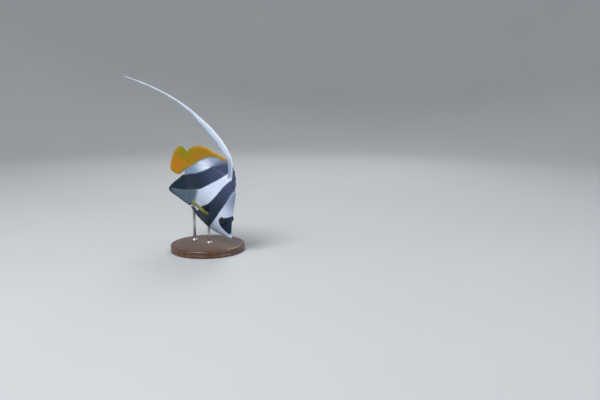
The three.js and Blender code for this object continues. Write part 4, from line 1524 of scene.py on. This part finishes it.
# %% Finishes of the paired fins
BREAST_YELLOW, BREAST_OLIVE = (0.50, 0.47, 0.02), (0.30, 0.26, 0.012)
BELLY_BLACK, BELLY_GREY = (0.012, 0.014, 0.022), (0.035, 0.035, 0.05)


def make_plain_fin_finish(name, base, second, clear):
    """A fin of one main colour, streaked along its rays, with painted shade on its fleshy root and inner
    part.
    """
    material, tree, shader = new_material(name)
    grid = attribute_of(tree, FIN_GRID)
    ray, along, kind = split(tree, grid)
    is_ray = in_range(tree, kind, 0.2, 0.8)
    streaks = noise(tree, stretched(tree, grid, (3.0, 1.5, 1.0)), 1.0, 3)
    mixed = maths(tree, "ADD", in_range(tree, streaks, 0.35, 0.7, 0.0, 0.6), product(tree, is_ray, 0.4))
    # Painted shade: the fleshy root, and the inner half of the rays from the fourth on, are darkened towards
    # black.
    ray_base_shade = product(tree, in_range(tree, ray, 3.0, 9.0), in_range(tree, along, 0.55, 0.15, 0.0, 0.85))
    fleshy_root_shade = strongest(tree, ray_base_shade, in_range(tree, along, 0.18, 0.09, 0.0, 0.85))
    colour = blend_colours(tree, fleshy_root_shade, blend_colours(tree, mixed, base, second), DARK)
    sheer = product(tree, product(tree, rest_of(tree, is_ray), clear), in_range(tree, along, 0.25, 0.9))
    fill(tree, shader, Base_Color=colour, Roughness=varied(tree, streaks, 0.32, 0.48),
         Alpha=rest_of(tree, sheer), Normal=ray_relief(tree, grid, is_ray, 22.0),
         Coat_Weight=0.2, Coat_Roughness=0.2, Specular_IOR_Level=0.4)
    return material


pectoral_finish = make_plain_fin_finish("yellow breast fin", BREAST_YELLOW, BREAST_OLIVE, 0.25)
pelvic_finish = make_plain_fin_finish("black belly fin", BELLY_BLACK, BELLY_GREY, 0.08)
print("nodes in the breast fin's finish:", len(pectoral_finish.node_tree.nodes))

# %% Breast fins and belly fins
paired = {}
for label, side in (("left", 1), ("right", -1)):
    paired["pectoral_" + label] = paired_fin(
        "pectoral_" + label, side, root=(0.325, -0.08, 9.5 * MM), root_line=(-0.15, 0, -1),
        axis=(-0.875, 0.471, 0.115), blade=(-0.39, -0.31, -0.87), rays=15, length=41 * MM,
        spread=(4.6 * MM, 17 * MM), ends=[(0, 0.9), (0.2, 1), (0.5, 0.96), (0.8, 0.86), (1, 0.68)],
        finish=pectoral_finish,
    )
    paired["pelvic_" + label] = paired_fin(
        "pelvic_" + label, side, root=(0.385, -0.262, 4.5 * MM), root_line=(-0.8, 0.3, -0.35),
        axis=(-0.983, 0.137, 0.12), blade=(-0.2, 0.5, -0.85), rays=6, length=35 * MM,
        spread=(5 * MM, 7 * MM), ends=[(0, 0.62), (0.3, 0.74), (0.7, 0.92), (1, 1)],
        finish=pelvic_finish, spines=1, ray_size=0.5 * MM,
    )

# %% [markdown]
# The banner is the fourth spine of the back fin, drawn out to more than the length of the body. The
# spine itself is a white bar along its leading edge, and a thin membrane trails behind it, wide near
# the fish and gone towards the tip. Its line is placed point by point, in the straight fish.

# %% The banner
BANNER_LINE = [(0.393, 0.394, 0), (0.448, 0.477, 0), (0.5, 0.541, 0), (0.539, 0.588, 0),
               (0.587, 0.6155, 0), (0.66, 0.6265, -0.2), (0.79, 0.631, -1), (0.92, 0.6265, -2.3),
               (1.046, 0.612, -3.8), (1.329, 0.566, -8.1), (1.641, 0.46, -13.9), (1.995, 0.286, -21.5),
               (2.271, 0.124, -28)]
BANNER_WIDTH = [(0, 0.05), (0.06, 0.064), (0.11, 0.06), (0.15, 0.062), (0.19, 0.078), (0.24, 0.083),
                (0.34, 0.074), (0.44, 0.044), (0.5, 0.03), (0.65, 0.019), (0.85, 0.014), (1, 0.004)]
BANNER_ROWS = 220
BANNER_COLUMNS = 17
BANNER_RIB_ROWS = BANNER_ROWS // 2
FRILLS, FRILL_DEPTH = 23, 0.022
RIPPLES, RIPPLE_DEPTH = 9, 0.35 * MM
SPINE_RADIUS, RIB_RADIUS, RIB_END = 0.85 * MM, 0.34 * MM, 0.02 * MM
RIB_AT = 0.2


def centripetal(points, steps=60):
    """A smooth curve through points, whose knots are spaced by the root of their distance."""
    first, last = 2 * points[:1] - points[1:2], 2 * points[-1:] - points[-2:-1]
    padded = np.concatenate([first, points, last])
    gaps = np.sqrt(np.linalg.norm(np.diff(padded, axis=0), axis=1))
    made = []
    for i in range(1, len(padded) - 2):
        p0, p1, p2, p3 = padded[i - 1:i + 3]
        d0, d1, d2 = gaps[i - 1:i + 2]
        m1 = ((p1 - p0) / d0 - (p2 - p0) / (d0 + d1) + (p2 - p1) / d1) * d1
        m2 = ((p2 - p1) / d1 - (p3 - p1) / (d1 + d2) + (p3 - p2) / d2) * d1
        t = np.linspace(0, 1, steps, endpoint=False)[:, None]
        made.append((2 * t**3 - 3 * t**2 + 1) * p1 + (t**3 - 2 * t**2 + t) * m1
                    + (3 * t**2 - 2 * t**3) * p2 + (t**3 - t**2) * m2)
    made.append(points[-1:])
    return np.concatenate(made)


def evenly(line, count):
    """The same line with its points spaced evenly along it."""
    length = length_along(line)
    wanted = np.linspace(0, length[-1], count)
    return np.stack([np.interp(wanted, length, line[:, k]) for k in range(3)], axis=-1)


banner_line = np.array([in_fish(s, z, left * MM) for s, z, left in BANNER_LINE])
banner_middle = evenly(centripetal(banner_line), BANNER_ROWS)
banner_tangent = np.gradient(banner_middle, axis=0)
banner_up = np.stack([-banner_tangent[:, 2], 0 * banner_tangent[:, 1], banner_tangent[:, 0]], axis=-1)
banner_up *= np.sign(banner_up[:, 2:]) / np.linalg.norm(banner_up, axis=1, keepdims=True)
along = np.linspace(0, 1, BANNER_ROWS)
banner_width = curve_through(BANNER_WIDTH)(along) * BODY_LENGTH
print("length of the banner, in metres:", round(length_along(banner_middle)[-1], 4))

# %% The banner's membrane
across = np.linspace(0, 1, BANNER_COLUMNS)[None, :] ** 1.25
down = along[:, None]
frill = FRILL_DEPTH * np.sin(2 * math.pi * down * FRILLS) * smooth_step(down, 0.05, 0.2)
reach = (0.5 - across * (1 + frill * across)) * banner_width[:, None]
ripple = RIPPLE_DEPTH * across**2 * np.sin(2 * math.pi * down * RIPPLES) * smooth_step(down, 0.1, 0.3)
banner_points = banner_middle[:, None] + banner_up[:, None] * reach[..., None]
banner_points[..., 1] += ripple
banner_half = (0.14 + 0.12 * (1 - across)) * MM * (1 - 0.35 * down)
banner_grid = np.stack(np.broadcast_arrays(across, down, 0.0), axis=-1)
banner_sheet = make_sheet("banner_membrane", banner_points, banner_half, banner_grid, bend=False)
print("points of the banner's membrane:", banner_half.size)

# %% The banner's spine and rib
spine_radius = SPINE_RADIUS * (1 - 0.72 * along**0.7)
spine_path = banner_middle + banner_up * (0.5 * banner_width - 0.75 * spine_radius)[:, None]
spine_grid = np.stack([0 * along, along, 1 + 0 * along], axis=-1)
rib_path = banner_middle + banner_up * (RIB_AT * banner_width)[:, None]
rib_radius = RIB_RADIUS * (1 - 0.5 * along) * smooth_step(along, 0.02, 0.1)
rib_radius = rib_radius * (1 - smooth_step(along, 0.38, 0.5)) + RIB_END
rib_grid = np.stack([0.3 + 0 * along, along, 1 + 0 * along], axis=-1)
rib = slice(BANNER_RIB_ROWS)
banner_lines = make_lines("banner_lines", [
    (spine_path, spine_radius, spine_grid),
    (rib_path[rib], rib_radius[rib], rib_grid[rib]),
], bend=False)
print("points of the spine and its rib:", len(banner_lines.data.vertices))

# %% Banner finish
STREAMER_WHITE, STREAMER_BLUE = (0.80, 0.89, 0.98), (0.53, 0.68, 0.92)
STREAMER_GROOVE, STREAMER_ROOT = (0.40, 0.50, 0.72), (0.29, 0.37, 0.52)
STREAMER_STREAK, STREAMER_SPINE = (0.42, 0.52, 0.70), (0.86, 0.90, 0.94)


def make_banner_finish():
    material, tree, shader = new_material("white streamer")
    grid = attribute_of(tree, FIN_GRID)
    across_share, along_share, kind = split(tree, grid)
    trailing = in_range(tree, across_share, 0.3, 0.95)
    colour = blend_colours(tree, trailing, STREAMER_WHITE, STREAMER_BLUE)
    groove = in_range(tree, across_share, 0.22, 0.38)
    groove = product(tree, groove, in_range(tree, across_share, 0.6, 0.45))
    colour = blend_colours(tree, product(tree, groove, 0.55), colour, STREAMER_GROOVE)
    colour = blend_colours(tree, in_range(tree, along_share, 0.17, 0.10), colour, STREAMER_ROOT)
    streaks = noise(tree, stretched(tree, grid, (16.0, 5.0, 1.0)), 1.0, 3)
    colour = blend_colours(tree, in_range(tree, streaks, 0.5, 0.75, 0.0, 0.3), colour, STREAMER_STREAK)
    is_ray = in_range(tree, kind, 0.2, 0.8)
    colour = blend_colours(tree, is_ray, colour, STREAMER_SPINE)
    fine = noise(tree, stretched(tree, grid, (30.0, 240.0, 1.0)), 1.0, 2)
    sheer = product(tree, trailing, rest_of(tree, is_ray))
    sheer = product(tree, sheer, in_range(tree, along_share, 0.12, 0.25, 0.0, 0.3))
    fill(tree, shader, Base_Color=colour, Roughness=varied(tree, streaks, 0.3, 0.46),
         Alpha=rest_of(tree, sheer), Normal=bump(tree, fine, 0.35, 0.08 * MM),
         Coat_Weight=0.15, Coat_Roughness=0.2, Specular_IOR_Level=0.3)
    return material


banner_piece = finish_fin("streamer", banner_lines, banner_sheet, make_banner_finish(), sides=10)

# %% [markdown]
# The eye of a reef fish is a flattened ball that stands out a little from the head. The dark iris
# lies under a clear bulging window. Both are turned profiles, squashed across the fish, and a soft
# rim of skin closes the gap round them.

# %% Eyes
EYE_SEGMENTS = 64
RIM_AT, RIM_SIZE, RIM_SUNK = 5.55 * MM, 0.42 * MM, 0.12 * MM
RIM_RINGS, RIM_SEGMENTS = 96, 12
BALL_INSIDE, IRIS_FLAT_FROM, IRIS_CONE = 0.15 * MM, 3.1 * MM, 0.05


def eye_centre(side):
    """The middle of an eyeball, set back from the flank so that the eye stands out a little."""
    turn = turn_at(np.array(EYE_STATION), np.array(EYE_HEIGHT))
    out, height = flank(np.array(EYE_STATION), turn)
    left = side * (float(out) - (EYE_DEPTH - EYE_STANDS_OUT))
    return in_fish(EYE_STATION, EYE_HEIGHT, left)


def turned(name, profile, centre, side):
    """A surface turned round the line across the fish from (radius, distance outwards) points."""
    angles = np.linspace(0, 2 * math.pi, EYE_SEGMENTS, endpoint=False)
    points = []
    for radius, out in profile:
        ring = np.stack([radius * np.cos(angles), 0 * angles + side * out, radius * np.sin(angles)], axis=-1)
        points.append(centre + ring)
    faces = ring_faces(len(profile), EYE_SEGMENTS, side > 0) + end_caps(len(profile), EYE_SEGMENTS, side > 0)
    piece = new_piece(name, to_world(np.concatenate(points)), faces)
    radii = np.repeat([radius for radius, _ in profile], EYE_SEGMENTS)
    store(piece, "eye_radius", radii / EYE_RADIUS, "FLOAT")
    angle = np.tile(angles, len(profile))
    store(piece, "eye_around", np.stack([np.cos(angle), np.sin(angle), 0 * angle], axis=-1))
    smooth(piece)
    return piece


def ball_profile(inside, start, flat_from=None):
    """Part of an ellipse, from behind to the front. A flat iris cuts the front off."""
    profile = []
    for angle in np.radians(np.linspace(start, 89.5, 40)):
        radius = (EYE_RADIUS - inside) * math.cos(angle)
        out = (EYE_DEPTH - inside) * math.sin(angle)
        if flat_from is not None:
            out = min(out, flat_from + IRIS_CONE * (EYE_RADIUS - radius))
        profile.append((radius, out))
    return profile


def make_rim(name, side):
    """A soft ring of skin that closes the gap round the eye."""
    out = EYE_DEPTH * math.sqrt(1 - (RIM_AT / EYE_RADIUS) ** 2) - RIM_SUNK
    angle, turn = np.meshgrid(np.linspace(0, 2 * math.pi, RIM_RINGS, endpoint=False),
                              np.linspace(0, 2 * math.pi, RIM_SEGMENTS, endpoint=False), indexing="ij")
    radius = RIM_AT + RIM_SIZE * np.cos(turn)
    rise = side * (out + RIM_SIZE * np.sin(turn))
    ring = np.stack([radius * np.cos(angle), rise, radius * np.sin(angle)], axis=-1)
    straight = eye_centre(side) + ring.reshape(-1, 3)
    piece = new_piece(name, to_world(straight), ring_faces(RIM_RINGS, RIM_SEGMENTS, side < 0, closed=True))
    store(piece, PLACE, place_of(straight))
    smooth(piece)
    piece.data.materials.append(skin_finish)
    return piece


# %% Eye finishes
IRIS_DARK, IRIS_BROWN, IRIS_RING = (0.010, 0.009, 0.011), (0.040, 0.030, 0.022), (0.34, 0.27, 0.15)
PUPIL_BLACK, WINDOW_TINT = (0.001, 0.001, 0.0015), (0.02, 0.025, 0.03)


def make_iris_finish():
    """Radial streaks, a pale thin ring round the pupil and the black pupil."""
    material, tree, shader = new_material("dark iris")
    radius = attribute_of(tree, "eye_radius", "Fac")
    streaks = noise(tree, stretched(tree, attribute_of(tree, "eye_around"), (7.0, 7.0, 1.0)), 3.0, 4)
    iris = blend_colours(tree, in_range(tree, streaks, 0.35, 0.7), IRIS_DARK, IRIS_BROWN)
    ring = product(tree, in_range(tree, radius, 0.45, 0.48), in_range(tree, radius, 0.54, 0.49))
    iris = blend_colours(tree, product(tree, ring, 0.65), iris, IRIS_RING)
    iris = blend_colours(tree, in_range(tree, radius, 0.46, 0.44), iris, PUPIL_BLACK)
    fill(tree, shader, Base_Color=iris, Roughness=varied(tree, streaks, 0.35, 0.5),
         Normal=bump(tree, streaks, 0.4, 0.2 * MM), Specular_IOR_Level=0.15)
    return material


def make_window_finish():
    """A wet clear film over the iris, nearly all see-through."""
    material, tree, shader = new_material("clear eye window")
    film = noise(tree, object_place(tree), 900, 2)
    fill(tree, shader, Base_Color=WINDOW_TINT, Roughness=varied(tree, film, 0.02, 0.05),
         Alpha=varied(tree, film, 0.10, 0.14), Specular_IOR_Level=0.6, IOR=1.38)
    return material


iris_finish = make_iris_finish()
window_finish = make_window_finish()
eyes = {}
for label, side in (("left", 1), ("right", -1)):
    inner = ball_profile(BALL_INSIDE, -80, IRIS_FLAT_FROM)
    ball = turned("eyeball_" + label, inner, eye_centre(side), side)
    ball.data.materials.append(iris_finish)
    window = turned("eye_window_" + label, ball_profile(0.0, 10), eye_centre(side), side)
    window.data.materials.append(window_finish)
    eyes[label] = (ball, window, make_rim("eye_rim_" + label, side))
print("eye across, in millimetres:", round(2 * RIM_AT / MM, 2))

# %% [markdown]
# The stand is plain, as in a museum: a turned wooden disc and two steel rods. The disc's edge shows
# its maker's care in a small groove and a soft rounding, and a collar closes each hole.

# %% Stand
BASE_RADIUS, BASE_HEIGHT, BASE_ROUNDING, BASE_FOOT = 62 * MM, 12 * MM, 3 * MM, 0.6 * MM
GROOVE_HEIGHT, GROOVE_DEPTH = 5.8 * MM, 0.5 * MM
ROD_RADIUS, ROD_CHAMFER, ROD_SUNK = 2.5 * MM, 0.3 * MM, 2.3 * MM
SOCKET_DEPTH = 7 * MM
COLLAR_RADIUS, COLLAR_RISE, COLLAR_ROUNDING = 5.2 * MM, 1.3 * MM, 0.9 * MM
COLLAR_DEPTH, COLLAR_GAP = 1 * MM, 0.05 * MM
ROD_STATIONS = {"stand_rod_front": 0.3, "stand_rod_rear": 0.605}


def turned_points(profile, segments, centre=(0, 0)):
    """Points turned round a vertical line from (radius, height) points."""
    angles = np.linspace(0, 2 * math.pi, segments, endpoint=False)
    return [(centre[0] + radius * math.cos(angle), centre[1] + radius * math.sin(angle), height)
            for radius, height in profile for angle in angles]


def lathe(name, profile, centre, segments, finish):
    """A closed body turned round a vertical line, with its finish."""
    faces = ring_faces(len(profile), segments) + end_caps(len(profile), segments)
    piece = new_piece(name, turned_points(profile, segments, centre), faces)
    smooth(piece)
    piece.data.materials.append(finish)
    return piece


def arc(centre, radius, start, end, steps=8):
    """Points of an arc in a profile, angles in degrees."""
    turns = np.radians(np.linspace(start, end, steps + 1))
    return [(centre[0] + radius * math.cos(a), centre[1] + radius * math.sin(a)) for a in turns]


def base_profile():
    """From the middle of the underside round the edge to the middle of the top."""
    profile = [(1 * MM, 0), (BASE_RADIUS - 6 * MM, 0), (BASE_RADIUS - BASE_FOOT, 0)]
    profile += arc((BASE_RADIUS - BASE_FOOT, BASE_FOOT), BASE_FOOT, -80, 0, 4)
    for deep, up in ((0, -0.6), (GROOVE_DEPTH, -0.25), (GROOVE_DEPTH, 0.25), (0, 0.6)):
        profile.append((BASE_RADIUS - deep, GROOVE_HEIGHT + up * MM))
    profile += arc((BASE_RADIUS - BASE_ROUNDING, BASE_HEIGHT - BASE_ROUNDING), BASE_ROUNDING, 0, 90, 12)
    return profile + [(BASE_RADIUS - 8 * MM, BASE_HEIGHT), (1 * MM, BASE_HEIGHT)]


def rod_profile(top):
    """From a chamfered foot in the base to an end that is sunk into the belly."""
    bottom = BASE_HEIGHT - SOCKET_DEPTH
    neck, end = ROD_RADIUS - ROD_CHAMFER, top + ROD_SUNK
    return [(0.4 * MM, bottom), (neck, bottom), (ROD_RADIUS, bottom + ROD_CHAMFER),
            (ROD_RADIUS, end - ROD_CHAMFER), (neck, end), (0.4 * MM, end)]


def collar_profile():
    """From its foot in the base round its outer edge to its rim against the rod."""
    foot, top = BASE_HEIGHT - COLLAR_DEPTH, BASE_HEIGHT + COLLAR_RISE
    shoulder = top - COLLAR_ROUNDING
    ring = [(ROD_RADIUS + COLLAR_GAP, foot), (COLLAR_RADIUS, foot), (COLLAR_RADIUS, shoulder)]
    ring += arc((COLLAR_RADIUS - COLLAR_ROUNDING, shoulder), COLLAR_ROUNDING, 0, 90, 6)
    return ring + [(ROD_RADIUS + 0.3 * MM, top), (ROD_RADIUS + COLLAR_GAP, top - 0.2 * MM)]


# %% Wood and steel finishes
WOOD_DARK, WOOD_LIGHT, WOOD_STAIN = (0.070, 0.031, 0.015), (0.17, 0.080, 0.038), (0.095, 0.043, 0.020)
STEEL_GREY, STEEL_PALE = (0.56, 0.57, 0.58), (0.66, 0.66, 0.66)


def make_wood_finish():
    """Year rings cut lengthwise, with fine fibres, under a satin varnish."""
    material, tree, shader = new_material("dark stained wood")
    place = object_place(tree)
    patches = noise(tree, stretched(tree, place, (9, 34, 60)), 1.0, 3)
    year_rings = wave(tree, stretched(tree, place, (0.18, 1, 0.7)), 52, 5.5, 3, 0.7)
    fibres = noise(tree, stretched(tree, place, (90, 2600, 1500)), 1.0, 4, 0.6)
    grain = maths(tree, "ADD", product(tree, year_rings, 0.35), product(tree, fibres, 0.7))
    colour = blend_colours(tree, in_range(tree, grain, 0.2, 0.95), WOOD_DARK, WOOD_LIGHT)
    colour = blend_colours(tree, in_range(tree, patches, 0.45, 0.7, 0.0, 0.4), colour, WOOD_STAIN)
    fill(tree, shader, Base_Color=colour, Roughness=varied(tree, fibres, 0.30, 0.44),
         Normal=bump(tree, fibres, 0.25, 0.08 * MM),
         Coat_Weight=0.4, Coat_Roughness=0.22, Specular_IOR_Level=0.4)
    return material


def make_steel_finish():
    """Steel brushed along the rod."""
    material, tree, shader = new_material("brushed steel")
    place = object_place(tree)
    brush = noise(tree, stretched(tree, place, (5200, 5200, 60)), 1.0, 3)
    soft = noise(tree, place, 60, 2)
    colour = blend_colours(tree, varied(tree, soft, 0.0, 1.0), STEEL_GREY, STEEL_PALE)
    fill(tree, shader, Base_Color=colour, Roughness=in_range(tree, brush, 0.25, 0.75, 0.20, 0.36),
         Normal=bump(tree, brush, 0.2, 0.03 * MM), Metallic=1.0)
    return material


wood_finish = make_wood_finish()
steel_finish = make_steel_finish()
print("nodes in the wood finish:", len(wood_finish.node_tree.nodes))

# %% Base, rods and collars
base = lathe("base", base_profile(), (0, 0), 160, wood_finish)
rods = {}
collars = []
for node, station in ROD_STATIONS.items():
    x, y, top = map(float, to_world(in_fish(station, belly(np.array(station)))))
    rods[node] = lathe(node + "_steel", rod_profile(top), (x, y), 48, steel_finish)
    collar_name = "collar_" + node[len("stand_rod_"):]
    collars.append(lathe(collar_name, collar_profile(), (x, y), 48, steel_finish))
    print(node, "meets the belly at height, in millimetres:", round(top / MM, 1))

# %% [markdown]
# The pieces ride on the frame's one body, and each says which nodes it stands for. The skin takes the
# place of the three lengths of the body. Scales, tubes, windows, rims and collars stand for no node.

# %% Ride and replace
ALL_PIECES = [
    (skin, "skin", ("head", "trunk", "tail_base")),
    (dorsal_front, "fin_black", ("dorsal_fin_front",)),
    (dorsal_rear, "fin_yellow", ("dorsal_fin_spiny", "dorsal_fin_soft")),
    (anal, "fin_black", ("anal_fin",)),
    (caudal, "fin_yellow", ("caudal_fin",)),
    (banner_piece, "fin_white", ("banner",)),
    (base, "stand_wood", ("stand_base",)),
]
for label in ("left", "right"):
    ball, window, rim = eyes[label]
    ALL_PIECES.append((ball, "eye", ("eye_" + label,)))
    ALL_PIECES.append((window, "eye", ()))
    ALL_PIECES.append((rim, "skin", ()))
    ALL_PIECES.append((paired["pectoral_" + label], "fin_yellow", ("pectoral_fin_" + label,)))
    ALL_PIECES.append((paired["pelvic_" + label], "fin_black", ("pelvic_fin_" + label,)))
for node, rod in rods.items():
    ALL_PIECES.append((rod, "stand_steel", (node,)))
for collar in collars:
    ALL_PIECES.append((collar, "stand_steel", ()))

ALL_PIECES += [(coat, "skin", ()) for coat in coats]
for blank in (scale_blank, tube_blank):
    bpy.data.objects.remove(blank)
for piece, slot_name, nodes in ALL_PIECES:
    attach(piece, "root")
    if nodes:
        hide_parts(*nodes)
print("pieces:", len(ALL_PIECES), "triangles in all:", sum(triangles(piece) for piece, _, _ in ALL_PIECES))

# %% [markdown]
# The stage is a wide pale bowl, level in the middle, so that every view has a plain background. The
# light is a large soft panel above and in front, with weaker ones at the side and behind.

# %% Stage and light
STAGE_RADIUS, STAGE_WALL, STAGE_BEND = 2.6, 2.4, 0.9
STAGE_SEGMENTS = 96
FLOOR_GREY, FLOOR_PALE = (0.52, 0.54, 0.56), (0.56, 0.58, 0.60)
LIT_PLACE = (0, 0, 0.15)
AIR_COLOUR, AIR_STRENGTH = (0.92, 0.95, 1.0, 1), 0.34


def make_stage_finish():
    material, tree, shader = new_material("pale floor")
    mottle = noise(tree, object_place(tree), 3, 2)
    fill(tree, shader, Base_Color=blend_colours(tree, mottle, FLOOR_GREY, FLOOR_PALE),
         Roughness=0.85, Specular_IOR_Level=0.2)
    return material


def make_stage():
    """A level floor that rises in a wide bend to an upright wall."""
    flat_to = STAGE_RADIUS - STAGE_BEND
    profile = [(radius, 0.0) for radius in (0.02, 0.4, 1.0, flat_to)]
    profile += arc((flat_to, STAGE_BEND), STAGE_BEND, -80, 0, 10)
    profile += [(STAGE_RADIUS, STAGE_WALL)]
    faces = [tuple(range(STAGE_SEGMENTS))] + ring_faces(len(profile), STAGE_SEGMENTS, True)
    floor = new_piece("floor", turned_points(profile, STAGE_SEGMENTS), faces)
    smooth(floor)
    floor.data.materials.append(make_stage_finish())


def add_panel(name, place, size, power, colour=(1, 1, 1)):
    """A square soft light that looks at the middle of the fish."""
    data = bpy.data.lights.new(name, "AREA")
    data.shape = "SQUARE"
    data.size = size
    data.energy = power
    data.color = colour
    panel = bpy.data.objects.new(name, data)
    panel.location = place
    toward = Vector(LIT_PLACE) - panel.location
    panel.rotation_euler = toward.to_track_quat("-Z", "Y").to_euler()
    bpy.context.scene.collection.objects.link(panel)


make_stage()
add_panel("key panel", (-0.55, -1.0, 1.5), 0.8, 27)
add_panel("fill panel", (1.4, -0.7, 0.7), 1.0, 5.5, (0.93, 0.97, 1.0))
add_panel("back panel", (0.3, 1.3, 1.3), 0.9, 10)
world = bpy.data.worlds.new("studio air")
world.use_nodes = True
background = world.node_tree.nodes["Background"].inputs
background["Color"].default_value = AIR_COLOUR
background["Strength"].default_value = AIR_STRENGTH
bpy.context.scene.world = world
bpy.context.scene.view_settings.view_transform = "Standard"
print("soft panels:", len(bpy.data.lights))
